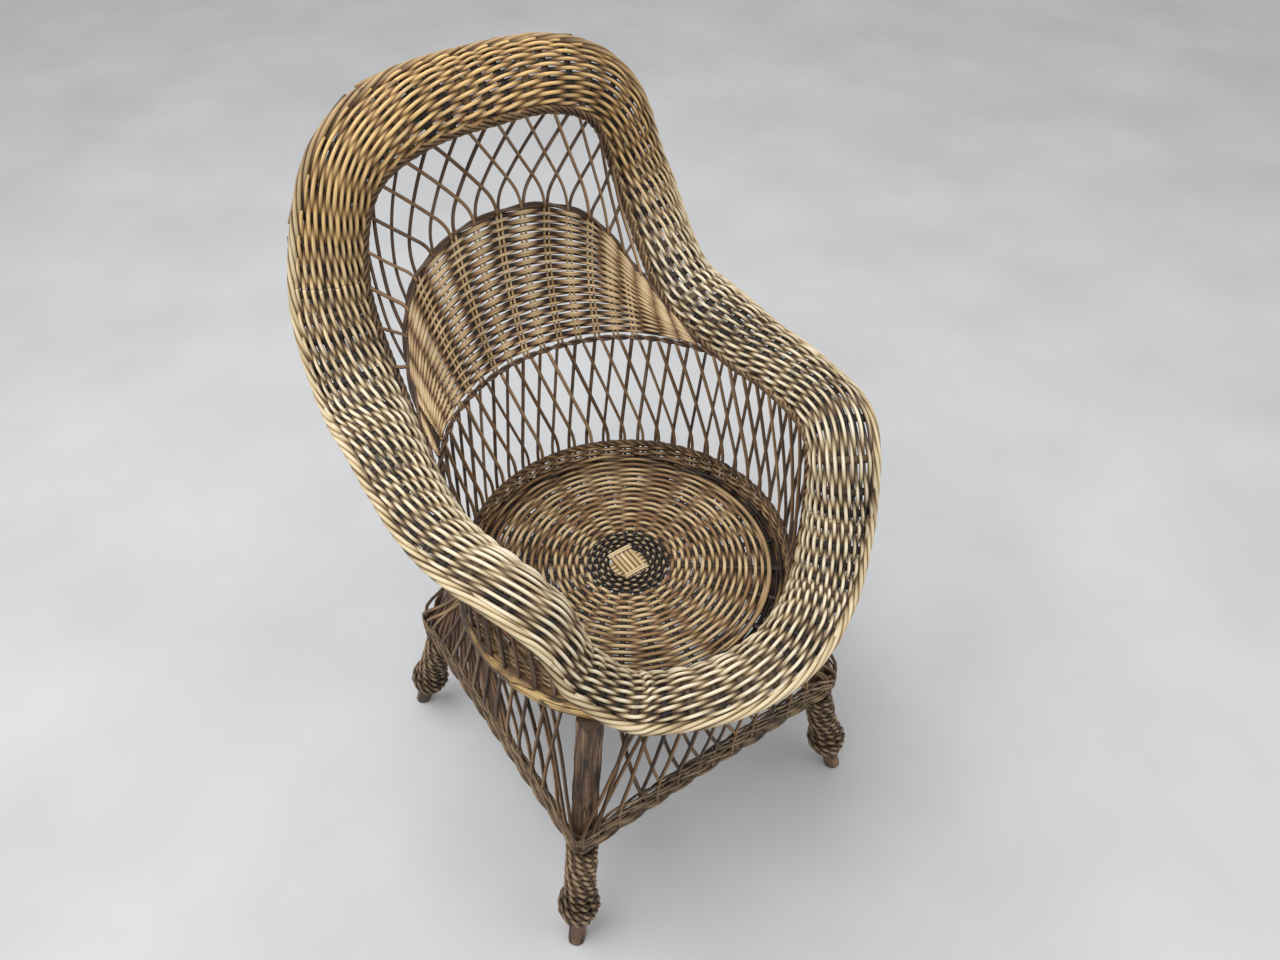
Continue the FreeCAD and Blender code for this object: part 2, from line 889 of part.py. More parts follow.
def panel_limits(across):
    """The panel's lower and upper edge on the back wall, clear of the sloping arch."""
    height = wall_height(across)
    low = (border_tube_radius + bend_clearance) / height
    slope = 1 + arch_slope_share * across ** 2
    high = arch_up(across) - (arch_tube_radius + 2 * bend_clearance) * slope / height
    return low, high


def panel_points(across, lift, gap=0.0):
    """Low, middle and high points of one flat section of the panel, lifted to the sitter."""
    low_up, high_up = panel_limits(across)
    high_up = high_up - gap / wall_height(across)
    low = wall_back(across, low_up)
    middle = wall_back(across, (low_up + high_up) / 2)
    high = wall_back(across, high_up)
    chord = (high - low).normalize()
    normal = wall_normal(across, (low_up + high_up) / 2)
    normal = (normal - chord * normal.dot(chord)).normalize()
    side = chord.cross(normal)
    middle = middle - side * (middle - low).dot(side)
    return [point + normal * lift for point in (low, middle, high)]


def make_panel():
    """The woven panel: a curved sheet between the border and the arch."""
    sections = []
    count = 16
    for index in range(count + 1):
        across = panel_end_share * (2 * index / count - 1)
        front = panel_points(across, panel_thickness / 2)
        rear = panel_points(across, -panel_thickness / 2)
        edges = [
            Part.Arc(front[0], front[1], front[2]).toShape(),
            Part.LineSegment(front[2], rear[2]).toShape(),
            Part.Arc(rear[2], rear[1], rear[0]).toShape(),
            Part.LineSegment(rear[0], front[0]).toShape(),
        ]
        sections.append(Part.Wire(edges))
    return Part.makeLoft(sections, True, True)


def make_panel_stakes():
    """Pairs of stakes behind the woven panel, from the wall's rods to the back's."""
    stakes = []
    lift = -(panel_thickness / 2 + panel_stake_radius + bend_clearance)
    pair_share = panel_stake_spacing / (2 * wall_radius * math.radians(junction_angle))
    for index in range(-panel_pair_count, panel_pair_count + 1):
        for side in (-pair_share, pair_share):
            foot = border_across(index) + side
            head = pair_across(index) + side
            low = panel_points(foot, lift, bend_clearance)[0]
            middle = panel_points((foot + head) / 2, lift, bend_clearance)[1]
            high = panel_points(head, lift, bend_clearance)[2]
            stakes.append(bent_rod(low, middle, high, panel_stake_radius))
    return stakes


def make_border(rim_solids):
    """The wale along the lower edge of the panel, let in to the rim at both ends."""
    end = junction_angle - border_end_angle
    return trimmed(curve_tube(border_point, -end, end, 12, border_tube_radius), rim_solids)


def make_arch(rim_solids):
    """The dark bent hoop over the woven panel, let in to the rim at both ends."""
    arch = curve_tube(arch_point, -arch_end_share, arch_end_share, 24, arch_tube_radius)
    return trimmed(arch, rim_solids)


def trimmed(shape, cutters):
    """The largest solid that is left of a shape outside the cutters."""
    for cutter in cutters:
        shape = shape.cut(cutter)
    return max(shape.Solids, key=lambda solid: solid.Volume)


def border_point(angle):
    """A point of the border's middle line, at an angle from the back."""
    return polar(edge_radius(angle), angle, border_level(angle))


def hoop_point(angle):
    """A point of the hoop's middle line, at an angle from the back."""
    return polar(hoop_radius, angle, hoop_height)


def run_breaks():
    """Lengths along the rim at which the rim, the roll and its edge are parted."""
    back = rim.length * 0.13
    front = rim.length * 0.385
    return (
        ("back", -back, back),
        ("arm_right", back, front),
        ("front", front, rim.length - front),
        ("arm_left", rim.length - front, rim.length - back),
    )


def make_roll(start, end):
    """One stretch of the rolled woven band, as a curled sheet."""
    sections = []
    count = round((end - start) / roll_station_step)
    for index in range(count + 1):
        point, out, rise, radius, turn = roll_frame(start + (end - start) * index / count)
        first = (rim_tube_radius + bend_clearance) / radius
        last = turn
        middle = (first + last) / 2
        top = []
        under = []
        for angle in (first, middle, last):
            top.append(roll_place(point, out, rise, radius, angle, roll_thickness / 2))
            under.append(roll_place(point, out, rise, radius, angle, -roll_thickness / 2))
        edges = [
            Part.Arc(top[0], top[1], top[2]).toShape(),
            Part.LineSegment(top[2], under[2]).toShape(),
            Part.Arc(under[2], under[1], under[0]).toShape(),
            Part.LineSegment(under[0], top[0]).toShape(),
        ]
        sections.append(Part.Wire(edges))
    return Part.makeLoft(sections, True, False)


def make_roll_stakes():
    """Bent stakes under the rolled band, from the rim to its outer edge."""
    stakes = []
    lift = -(roll_thickness / 2 + roll_stake_radius + bend_clearance)
    for index in range(roll_stake_count):
        point, out, rise, radius, turn = roll_frame(rim.length * (index + 0.5) / roll_stake_count)
        first = (rim_tube_radius + roll_stake_radius + clearance) / (radius + lift)
        middle = (first + turn) / 2
        places = [roll_place(point, out, rise, radius, angle, lift) for angle in (first, middle, turn)]
        stakes.append(bent_rod(places[0], places[1], places[2], roll_stake_radius))
    return stakes


def outer_point(length):
    """The middle line of the plaited edge beyond the rolled band."""
    point, out, rise, radius, turn = roll_frame(length)
    angle = turn + (outer_tube_radius + edge_clearance) / radius
    return roll_place(point, out, rise, radius, angle, 0.0)


def make_runs(place, radius):
    """A tube along the whole rim or edge, parted like the roll."""
    runs = []
    for name, start, end in run_breaks():
        count = round((end - start) / tube_station_step)
        runs.append(curve_tube(place, start, end, count, radius))
    return runs


# The tubes that rods run up to: each tube's radius and the points of its middle line
hoop_tubes = ((hoop_tube_radius, axis_points(hoop_point, 0, 360)),)
arch_tubes = ((arch_tube_radius, axis_points(arch_point, -1, 1)),)
edge_tubes = (
    (border_tube_radius, axis_points(border_point, -junction_angle, junction_angle)),
    (rim_tube_radius, axis_points(rim.at, 0, rim.length)),
)


def all_parts():
    """Every node's solids, by name, about the middle of the seat."""
    parts = {}
    hoop = Part.makeTorus(hoop_radius, hoop_tube_radius, V(0, 0, hoop_height))
    nails = []
    gaps = []
    for side, side_name in ((-1, "left"), (1, "right")):
        for front, end_name in ((True, "front"), (False, "rear")):
            label = end_name + "_" + side_name
            parts["leg_" + label] = [make_leg(side, front, hoop)]
            winding, gap = make_wrap(side, front)
            gaps.append(gap)
            parts["leg_wrap_" + label] = [winding]
            parts["leg_pad_" + label] = [make_pad(side, front)]
            parts["skirt_corner_" + label] = [make_corner(side, front)]
            nails.append(make_nail(side, front))
    print("least gap of a leg winding to itself, mm:", round(min(gaps), 3))
    for nail in nails:
        hoop = hoop.cut(nail)
    parts["seat_hoop"] = [hoop]
    parts["leg_nails"] = nails
    for side_name in ("front", "rear", "left", "right"):
        parts["skirt_rail_" + side_name] = [make_rail(side_name)]
        parts["skirt_rods_" + side_name] = skirt_rods(side_name)
    parts["seat_cross_lower"] = make_seat_cross(False)
    parts["seat_cross_upper"] = make_seat_cross(True)
    parts["seat_ties"] = make_seat_ties()
    parts["seat_spokes"] = make_spokes()
    parts["seat_centre_weave"] = [make_seat_centre()]
    parts["seat_weave"] = [make_seat_weave(seat_centre_radius, wale_inner_radius - clearance)]
    parts["seat_edge_wale"] = [make_edge_wale()]
    parts["wall_rods_right"] = wall_rods(wall_lean_right, 1)
    parts["wall_rods_left"] = wall_rods(-wall_lean_left, -1)
    rim_solids = make_runs(rim.at, rim_tube_radius)
    parts["inner_rim_wale"] = rim_solids
    parts["back_border_wale"] = [make_border(rim_solids)]
    parts["back_panel_weave"] = [make_panel()]
    parts["back_panel_stakes"] = make_panel_stakes()
    parts["back_arch"] = [make_arch(rim_solids)]
    parts["back_rods_right"] = back_rods(1)
    parts["back_rods_left"] = back_rods(-1)
    parts["outer_border"] = make_runs(outer_point, outer_tube_radius)
    for name, start, end in run_breaks():
        parts["roll_" + name] = [make_roll(start, end)]
    parts["roll_stakes"] = make_roll_stakes()
    return parts


def box_centre_y():
    """The middle of the chair's depth, from its outermost edge."""
    steps = 400
    places = [outer_point(rim.length * index / steps).y for index in range(steps)]
    return (max(places) + min(places)) / 2


def main():
    os.makedirs("parts", exist_ok=True)
    shift = V(0, -box_centre_y(), 0)
    print("seat middle at y, mm:", round(shift.y, 2))
    for name, solids in all_parts().items():
        shape = solids[0] if len(solids) == 1 else Part.makeCompound(solids)
        shape.translate(shift)
        valid = shape.isValid()
        print(name, len(shape.Solids), "solids", round(shape.Volume), "mm3", "" if valid else "INVALID")
        shape.exportStep("parts/" + name + ".step")


main()
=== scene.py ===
import bpy
import math
import numpy as np
from mathutils import Matrix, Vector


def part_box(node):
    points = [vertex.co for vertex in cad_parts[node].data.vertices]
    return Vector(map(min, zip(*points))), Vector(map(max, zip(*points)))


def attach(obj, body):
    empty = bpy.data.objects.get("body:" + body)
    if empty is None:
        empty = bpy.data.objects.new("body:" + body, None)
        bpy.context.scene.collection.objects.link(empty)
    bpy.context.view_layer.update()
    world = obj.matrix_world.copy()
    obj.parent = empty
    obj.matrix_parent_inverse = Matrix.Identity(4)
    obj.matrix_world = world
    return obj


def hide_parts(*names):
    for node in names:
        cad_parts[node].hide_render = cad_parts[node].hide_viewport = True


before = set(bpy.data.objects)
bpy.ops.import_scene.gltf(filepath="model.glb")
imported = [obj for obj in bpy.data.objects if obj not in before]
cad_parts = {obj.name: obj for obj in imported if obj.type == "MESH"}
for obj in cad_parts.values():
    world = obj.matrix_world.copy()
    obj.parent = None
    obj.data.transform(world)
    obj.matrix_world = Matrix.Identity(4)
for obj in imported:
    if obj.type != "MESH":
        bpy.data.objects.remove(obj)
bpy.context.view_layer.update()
print("frame loaded:", len(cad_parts), "nodes")

mm = 0.001
rng = np.random.default_rng(11)

# Sizes of the chair in millimetres, about the middle of its seat
chair = {
    "hoopHeight": 390.0,
    "hoopRadius": 203.0,
    "hoopTubeRadius": 13.5,
    "wallRadius": 206.0,
    "waleHeight": 34.0,
    "waleWidth": 10.0,
    "borderHeight": 611.0,
    "rimTopHeight": 892.0,
    "rimTubeRadius": 6.0,
    "junctionAngle": 69.0,
    "junctionPlace": 5,
    "backBulge": 30.0,
    "fanLinear": 0.55,
    "archLow": 0.45,
    "archRise": 0.15,
    "archSpan": 1.3,
    "archEndRise": 0.07,
    "pairStep": 0.12,
    "pairClosing": 0.025,
    "stations": 54,
    "wallPhase": -2.9,
    "rollCentre": 0.1,
    "rimGap": 0.3,
    "cornerPower": 4,
    "fanPower": 3,
}

# The rim's right half from the back's middle to the front's: across, back and up, in shares
rimShares = (
    (0.0, 1.243, 1.0),
    (0.379, 1.248, 0.987),
    (0.67, 1.301, 0.906),
    (0.835, 1.272, 0.683),
    (0.879, 0.864, 0.424),
    (0.956, 0.364, 0.3525),
    (0.985, -0.024, 0.3525),
    (0.917, -0.427, 0.3525),
    (0.859, -0.544, 0.308),
    (0.791, -0.646, 0.163),
    (0.573, -0.816, 0.018),
    (0.243, -0.966, 0.0),
    (0.0, -1.0, 0.0),
)
rollRadii = (55.0, 56.0, 48.0, 39.0, 41.0, 44.0)    # at even steps from the back to the front
rollTurns = (88.0, 74.0, 120.0, 133.0, 132.0, 134.0)    # degrees, at the same steps

hoopTop = chair["hoopHeight"] + chair["hoopTubeRadius"]
waleTop = hoopTop + chair["waleHeight"]
rimFront = waleTop + chair["rimTubeRadius"] + chair["rimGap"]
rimRise = chair["rimTopHeight"] - rimFront
fullTurn = 360.0
stationAngle = fullTurn / chair["stations"]
upward = np.array([0.0, 0.0, 1.0])
hoopLow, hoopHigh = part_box("seat_hoop")
seatShift = (hoopLow.y + hoopHigh.y) / 2 / mm    # the seat's middle, back from the origin


# Curves and surfaces that the willow follows

def unit(vectors):
    return vectors / np.linalg.norm(vectors, axis=-1, keepdims=True)


def polar(radius, angle, height):
    turn = np.radians(angle)
    radius, turn, height = np.broadcast_arrays(radius, turn, height)
    return np.stack([radius * np.sin(turn), radius * np.cos(turn), height], -1)


def closedTrack(points, steps):
    count = len(points)
    track = []
    for index in range(count):
        before, start, end, after = (points[(index + step) % count] for step in (-1, 0, 1, 2))
        first, middle, last = (math.sqrt(np.linalg.norm(far - near)) for near, far in
                               ((before, start), (start, end), (end, after)))
        chord = (end - start) / middle
        startSlope = (start - before) / first - (end - before) / (first + middle) + chord
        endSlope = chord - (after - start) / (middle + last) + (after - end) / last
        part = np.arange(steps)[:, None] / steps
        square = part ** 2
        cubic = part ** 3
        track.append(start * (2 * cubic - 3 * square + 1) + startSlope * middle * (cubic - 2 * square + part)
                     + end * (3 * square - 2 * cubic) + endSlope * middle * (cubic - square))
    track = np.concatenate(track)
    return np.concatenate([track, track[:1]])


def trackLengths(track):
    steps = np.linalg.norm(np.diff(track, axis=0), axis=1)
    return np.concatenate([[0.0], np.cumsum(steps)])


rightHalf = [np.array([across * chair["wallRadius"], back * chair["wallRadius"], rimFront + up * rimRise])
             for across, back, up in rimShares]
leftHalf = [point * np.array([-1, 1, 1]) for point in rightHalf[-2:0:-1]]
rimSteps = 40
rimTrack = closedTrack(rightHalf + leftHalf, rimSteps)
rimLengths = trackLengths(rimTrack)
rimLength = rimLengths[-1]
junctionLength = rimLengths[chair["junctionPlace"] * rimSteps]
junctionHeight = rimTrack[chair["junctionPlace"] * rimSteps, 2]


def rimAt(length):
    place = np.mod(length, rimLength)
    return np.stack([np.interp(place, rimLengths, rimTrack[:, axis]) for axis in range(3)], -1)


def blendAlong(values, share):
    values = np.array(values)
    place = np.clip(share, 0.0, 1.0) * (len(values) - 1)
    index = np.minimum(place.astype(int), len(values) - 2)
    part = place - index
    start = values[index]
    end = values[index + 1]
    startSlope = (end - values[np.maximum(index - 1, 0)]) / 2
    endSlope = (values[np.minimum(index + 2, len(values) - 1)] - start) / 2
    square = part ** 2
    cubic = part ** 3
    return ((2 * cubic - 3 * square + 1) * start + (cubic - 2 * square + part) * startSlope
            + (3 * square - 2 * cubic) * end + (cubic - square) * endSlope)


def rollFrame(length):
    length = np.asarray(length, float)
    point = rimAt(length)
    step = 2.0
    along = unit(rimAt(length + step) - rimAt(length - step))
    out = point - np.array([0, chair["rollCentre"] * chair["wallRadius"], 0])
    out[..., 2] = 0
    rise = unit(np.cross(along, out))
    out = np.cross(rise, along)
    place = np.mod(length, rimLength)
    share = np.minimum(place, rimLength - place) / (rimLength / 2)
    return point, out, rise, blendAlong(rollRadii, share), np.radians(blendAlong(rollTurns, share))


def rollPoint(length, share, lift):
    point, out, rise, radius, turn = rollFrame(length)
    angle = turn * share
    normal = rise * np.sin(angle)[..., None] - out * np.cos(angle)[..., None]
    return point + out * radius[..., None] + normal * (radius + lift)[..., None], normal


halfTrack = rimTrack[chair["junctionPlace"] * rimSteps:len(rightHalf) * rimSteps - rimSteps + 1]
edgeAngles = np.degrees(np.arctan2(halfTrack[:, 0], halfTrack[:, 1]))
edgeRadii = np.hypot(halfTrack[:, 0], halfTrack[:, 1])


def edgeRadius(angle):
    size = np.abs(angle)
    spread = edgeRadii[0] - chair["wallRadius"]
    inner = chair["wallRadius"] + spread * (size / chair["junctionAngle"]) ** chair["cornerPower"]
    outer = np.interp(size, edgeAngles, edgeRadii)
    return np.where(size <= chair["junctionAngle"], inner, outer)


def borderLevel(angle):
    # height of the panel's lower border: it comes down to the rim where the two meet
    drop = chair["borderHeight"] - junctionHeight
    return chair["borderHeight"] - drop * np.abs(angle / chair["junctionAngle"]) ** chair["cornerPower"]


def edgeHeight(angle):
    size = np.abs(angle)
    return np.where(size <= chair["junctionAngle"], borderLevel(size),
                    np.interp(size, edgeAngles, halfTrack[:, 2]))


def signedAngle(angle):
    return np.mod(angle + fullTurn / 2, fullTurn) - fullTurn / 2


def wallRound(angle, height, lift):
    angle = signedAngle(angle)
    share = np.maximum(0.0, (height - waleTop) / (edgeHeight(angle) - waleTop))
    radius = chair["wallRadius"] + (edgeRadius(angle) - chair["wallRadius"]) * np.minimum(share, 1.0)
    return polar(radius + lift, angle, height)


def wallBack(across, up):
    across, up = np.broadcast_arrays(np.asarray(across, float), np.asarray(up, float))
    size = np.abs(across)
    angle = chair["junctionAngle"] * across
    foot = polar(edgeRadius(angle), angle, borderLevel(angle))
    curved = (1 - chair["fanLinear"]) * size ** chair["fanPower"]
    reach = junctionLength * (chair["fanLinear"] * size + curved)
    top = rimAt(reach)
    top[..., 0] *= np.where(across < 0, -1.0, 1.0)
    riseShare = np.minimum(1.0, (top[..., 2] - foot[..., 2]) / (chair["rimTopHeight"] - foot[..., 2]))
    point = foot * (1 - up)[..., None] + top * up[..., None]
    point[..., 1] += 4 * chair["backBulge"] * up * (1 - up) * riseShare
    return point


def wallNormal(across, up):
    step = 0.01
    sideways = wallBack(across + step, up) - wallBack(across - step, up)
    upwards = wallBack(across, np.minimum(up + step, 1.0)) - wallBack(across, np.maximum(up - step, 0.0))
    return unit(np.cross(sideways, upwards))


def archUp(across):
    crown = chair["archRise"] * np.cos(math.pi * across / chair["archSpan"])
    return chair["archLow"] + crown + chair["archEndRise"] * across ** chair["cornerPower"]


def wallRise(across):
    return wallBack(across, 1.0)[..., 2] - wallBack(across, 0.0)[..., 2]


def pairAcross(index):
    # where a pair of the back's upper rods leaves the arch, counted from its crown
    return chair["pairStep"] * index * (1 - chair["pairClosing"] * np.abs(index))


def borderAcross(index):
    # where a pair of the round wall's rods meets the border, counted from the back
    return (index * stationAngle + chair["wallPhase"]) / chair["junctionAngle"]


# Mesh building: many bent rods gathered into one piece

sideShade = 0.1    # painted shade on a rod's sides, where its face has 1
crownBend = 1.3    # how fast the painted light rises from the sides towards the face
facingBend = 0.7    # the same for a strand that turns round its neighbours
grainShift = 50    # so that no two rods show the same grain
leastPoints = 8    # along a strand


class Strands:
    def __init__(self):
        self.points = []
        self.uvs = []
        self.tones = []
        self.shadesAndWears = []
        self.faces = []
        self.faceUvs = []
        self.count = 0

    def add(self, points, normals, width, depth, tone=None, raised=1.0, sides=8, under=None):
        # paler where a rod stands out, on its face or, where it dips, on its back: partly wear, partly
        # painted highlight; painted shade on its sides
        points = np.asarray(points, float)
        count = len(points)
        if count < 2:
            return
        along = unit(np.gradient(points, axis=0))
        side = unit(np.cross(normals, along))
        up = np.cross(along, side)
        turns = 2 * math.pi * np.arange(sides) / sides
        wide = np.broadcast_to(width, count)[:, None, None]
        deep = np.broadcast_to(depth, count)[:, None, None]
        ring = (points[:, None] + side[:, None] * wide * np.sin(turns)[None, :, None]
                - up[:, None] * deep * np.cos(turns)[None, :, None])
        # painted highlight on the face the rod turns to, painted shade on its sides and its other face
        crown = sideShade + (1 - sideShade) * (0.5 - 0.5 * np.cos(turns)) ** crownBend
        base = np.clip(np.cos(turns), 0.0, 1.0)
        raised = np.broadcast_to(raised, count)[:, None]
        shadeAndWear = raised * crown + (1 - raised if under is None else under) * base
        if tone is None:
            tone = rng.random()
        self.points.append(ring.reshape(-1, 3))
        self.tones.append(np.broadcast_to(np.broadcast_to(tone, count)[:, None], (count, sides)).ravel())
        self.shadesAndWears.append(shadeAndWear.ravel())
        run = trackLengths(points) * mm + rng.random() * grainShift
        rows = np.arange(count - 1)[:, None] * sides
        places = np.arange(sides)[None, :]
        nexts = (places + 1) % sides
        quads = np.stack([rows + places, rows + nexts, rows + sides + nexts, rows + sides + places], -1)
        low = np.broadcast_to(run[:-1, None], (count - 1, sides))
        high = np.broadcast_to(run[1:, None], (count - 1, sides))
        left = np.broadcast_to(places / sides, (count - 1, sides))
        right = left + 1 / sides
        uvs = np.stack([np.stack([low, left], -1), np.stack([low, right], -1),
                        np.stack([high, right], -1), np.stack([high, left], -1)], -2)
        caps = []
        for step in range(sides // 2 - 1):
            caps.append([step, sides - 1 - step, sides - 2 - step, step + 1])
        caps = np.array(caps)
        ends = np.concatenate([caps, caps[:, ::-1] + (count - 1) * sides])
        self.faces.append(np.concatenate([quads.reshape(-1, 4), ends]) + self.count)
        capUvs = np.tile(np.array([run[0], 0.5]), (len(ends), 4, 1))
        self.faceUvs.append(np.concatenate([uvs.reshape(-1, 4, 2), capUvs]))
        self.count += count * sides

    def build(self, name, material, slot, nodes):
        mesh = bpy.data.meshes.new(name)
        points = (np.concatenate(self.points) + np.array([0, seatShift, 0])) * mm
        faces = np.concatenate(self.faces)
        mesh.vertices.add(len(points))
        mesh.vertices.foreach_set("co", points.ravel().astype(np.float32))
        mesh.loops.add(faces.size)
        mesh.loops.foreach_set("vertex_index", faces.ravel().astype(np.int32))
        mesh.polygons.add(len(faces))
        mesh.polygons.foreach_set("loop_start", np.arange(0, faces.size, 4, dtype=np.int32))
        mesh.update(calc_edges=True)
        mesh.polygons.foreach_set("use_smooth", np.ones(len(faces), bool))
        layer = mesh.uv_layers.new(name="UVMap")
        layer.data.foreach_set("uv", np.concatenate(self.faceUvs).ravel().astype(np.float32))
        for label, values in (("tone", self.tones), ("shadeAndWear", self.shadesAndWears)):
            attribute = mesh.attributes.new(label, "FLOAT", "POINT")
            attribute.data.foreach_set("value", np.concatenate(values).astype(np.float32))
        mesh.validate()
        mesh.materials.append(material)
        piece = bpy.data.objects.new(name, mesh)
        bpy.context.scene.collection.objects.link(piece)
        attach(piece, "root")
        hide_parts(*nodes)
        print(name, len(faces), "faces")
        return piece


def shadeAndWearFrom(shadeAndWear, share):
    # the least painted light and wear, and what comes to it towards the face
    least, more = shadeAndWear
    return least + more * share


def tapered(count, ends, share):
    # 1 along the middle, falling to the given size at both ends
    place = np.linspace(0.0, 1.0, count)
    edge = np.minimum(place, 1 - place) / share
    return ends + (1 - ends) * np.minimum(edge, 1.0) ** 0.5


def twist(place, start, end, spacing, strands, helixRadius, pitch, across, phase=0.0, wobble=0.08):
    # the middle lines of strands twisted round a track, their normals and how far each faces out
    count = max(leastPoints, int(abs(end - start) / spacing))
    lengths = np.linspace(start, end, count)
    track = place(lengths)
    along = unit(np.gradient(track, axis=0))
    outward = across(lengths)
    outward = unit(outward - along * np.sum(outward * along, -1, keepdims=True))
    side = np.cross(along, outward)
    lines = []
    for index in range(strands):
        drift = wobble * np.cumsum(rng.normal(0, 1, count)) / math.sqrt(count)
        turn = 2 * math.pi * (lengths / pitch + index / strands) + phase + drift
        normal = outward * np.cos(turn)[:, None] + side * np.sin(turn)[:, None]
        lines.append((track + normal * helixRadius, normal, np.abs(np.cos(turn)) ** facingBend, lengths))
    return lines


# Finishes

def paint(red, green, blue):
    def linear(value):
        value = value / 255
        return value / 12.92 if value <= 0.04045 else ((value + 0.055) / 1.055) ** 2.4
    return (linear(red), linear(green), linear(blue), 1.0)


class Finish:
    def __init__(self, name):
        self.material = bpy.data.materials.new(name)
        self.material.use_nodes = True
        self.tree = self.material.node_tree
        self.shader = self.tree.nodes["Principled BSDF"]
        self.places = self.node("ShaderNodeTexCoord").outputs

    def node(self, kind, inputs=None, **settings):
        made = self.tree.nodes.new(kind)
        for key, value in settings.items():
            setattr(made, key, value)
        for key, value in (inputs or {}).items():
            if isinstance(value, bpy.types.NodeSocket):
                self.tree.links.new(value, made.inputs[key])
            else:
                made.inputs[key].default_value = value
        return made

    def add(self, first, second, operation="ADD"):
        made = self.node("ShaderNodeMath", {0: first, 1: second}, operation=operation)
        return made.outputs[0]

    def attribute(self, name):
        return self.node("ShaderNodeAttribute", attribute_name=name).outputs["Fac"]

    def grain(self, length, around, detail, roughness=0.5, distortion=0.0):
        # noise drawn out along the rod, with cells per metre and per turn
        along = self.node("ShaderNodeMapping", {"Vector": self.places["UV"], "Scale": (length, around, 1.0)})
        noise = self.node("ShaderNodeTexNoise", {"Vector": along.outputs[0], "Scale": 1.0, "Detail": detail,
                                                 "Roughness": roughness, "Distortion": distortion})
        return noise.outputs["Fac"]

    def patches(self, scale, detail=2.0):
        noise = self.node("ShaderNodeTexNoise", {"Vector": self.places["Object"], "Scale": scale,
                                                 "Detail": detail})
        return noise.outputs["Fac"]

    def ramp(self, value, stops):
        made = self.node("ShaderNodeValToRGB", {"Fac": value})
        elements = made.color_ramp.elements
        stops = list(stops)
        while len(elements) < len(stops):
            elements.new(0.5)
        for element, (place, colour) in zip(elements, stops):
            element.position = place
            element.color = paint(*colour)
        return made.outputs["Color"]

    def range(self, value, low, high, outLow, outHigh):
        made = self.node("ShaderNodeMapRange", {"Value": value, "From Min": low, "From Max": high,
                                                "To Min": outLow, "To Max": outHigh})
        return made.outputs["Result"]

    def shift(self, value, span, depth):
        # from minus to plus the depth as the value goes over its span
        return self.range(value, *span, -depth, depth)

    def mix(self, share, first, second):
        made = self.node("ShaderNodeMix", data_type="RGBA")
        for socket, value in ((made.inputs[0], share), (made.inputs[6], first), (made.inputs[7], second)):
            if isinstance(value, bpy.types.NodeSocket):
                self.tree.links.new(value, socket)
            else:
                socket.default_value = value
        return made.outputs[2]

    def bump(self, height, strength, distance):
        made = self.node("ShaderNodeBump", {"Height": height, "Strength": strength, "Distance": distance})
        self.link(made.outputs[0], "Normal")

    def link(self, socket, name):
        self.tree.links.new(socket, self.shader.inputs[name])


def willowFinish(name, look):
    # streaks along the rod, dark knots, and a paler face where the rod stands out and is worn, with painted
    # highlight there and painted shade in its dips and on its sides
    finish = Finish(name)
    streaks = finish.grain(look["grainLength"], look["grainAround"], *look["grainDetail"])
    patches = finish.patches(look["patchScale"], look["patchDetail"])
    tone = finish.attribute("tone")
    whole = (0.0, 1.0)
    shade = finish.attribute("shadeAndWear")
    shade = finish.add(shade, finish.shift(streaks, look["streakRange"], look["streakDepth"]))
    shade = finish.add(shade, finish.shift(tone, whole, look["toneDepth"]))
    shade = finish.add(shade, finish.shift(patches, look["patchRange"], look["patchDepth"]))
    colours = (look["deep"], look["body"], look["crown"], look["pale"])
    colour = finish.ramp(shade, zip(look["stops"], colours))
    if "second" in look:
        # another colour of rod: higher up on the chair, or for the tones from a value on
        colours = (look["deep"], look["second"], look["secondPale"])
        second = finish.ramp(shade, zip(look["secondStops"], colours))
        if "secondHeights" in look:
            height = finish.node("ShaderNodeSeparateXYZ", {"Vector": finish.places["Object"]}).outputs["Z"]
            share = finish.add(finish.range(height, *look["secondHeights"], *whole),
                               finish.shift(tone, whole, look["secondMixing"]))
        else:
            first = look["secondFrom"]
            share = finish.range(tone, first, first + look["secondBlend"], *whole)
        clamped = finish.node("ShaderNodeClamp", {"Value": share}).outputs[0]
        colour = finish.mix(clamped, colour, second)
    knots = finish.grain(look["knotLength"], look["knotAround"], 1.0)
    knotShade = finish.range(knots, *look["knotRange"], 0.0, look["knotShade"])
    colour = finish.mix(knotShade, colour, paint(*look["deep"]))
    finish.link(colour, "Base Color")
    low, high = look["roughness"]
    finish.link(finish.range(streaks, *look["glossRange"], low, high), "Roughness")
    lines = finish.grain(*look["fineGrain"])
    height = finish.add(lines, finish.range(knots, *look["knotRise"], 0.0, look["knotHeight"]))
    finish.bump(height, look["bump"], look["bumpDepth"])
    finish.shader.inputs["Specular IOR Level"].default_value = look["gloss"]
    return finish.material


willow = {
    "grainLength": 30.0,
    "grainAround": 5.0,
    "grainDetail": (6.0, 0.65),
    "fineGrain": (75.0, 10.0, 4.0),
    "streakRange": (0.25, 0.75),
    "patchRange": (0.3, 0.7),
    "patchDetail": 3.0,
    "stops": (0.05, 0.38, 0.68, 1.0),
    "secondStops": (0.05, 0.45, 0.95),
    "secondMixing": 0.25,
    "secondBlend": 0.1,
    "knotRange": (0.68, 0.74),
    "knotShade": 0.55,
    "knotRise": (0.66, 0.74),
    "knotHeight": 0.6,
    "glossRange": (0.3, 0.7),
    "patchScale": 9.0,
    "streakDepth": 0.16,
    "toneDepth": 0.14,
    "patchDepth": 0.12,
    "knotLength": 34.0,
    "knotAround": 0.3,
    "roughness": (0.55 - 0.12, 0.55 + 0.12),
    "bump": 0.45,
    "bumpDepth": 0.0008,
    "gloss": 0.4,
}
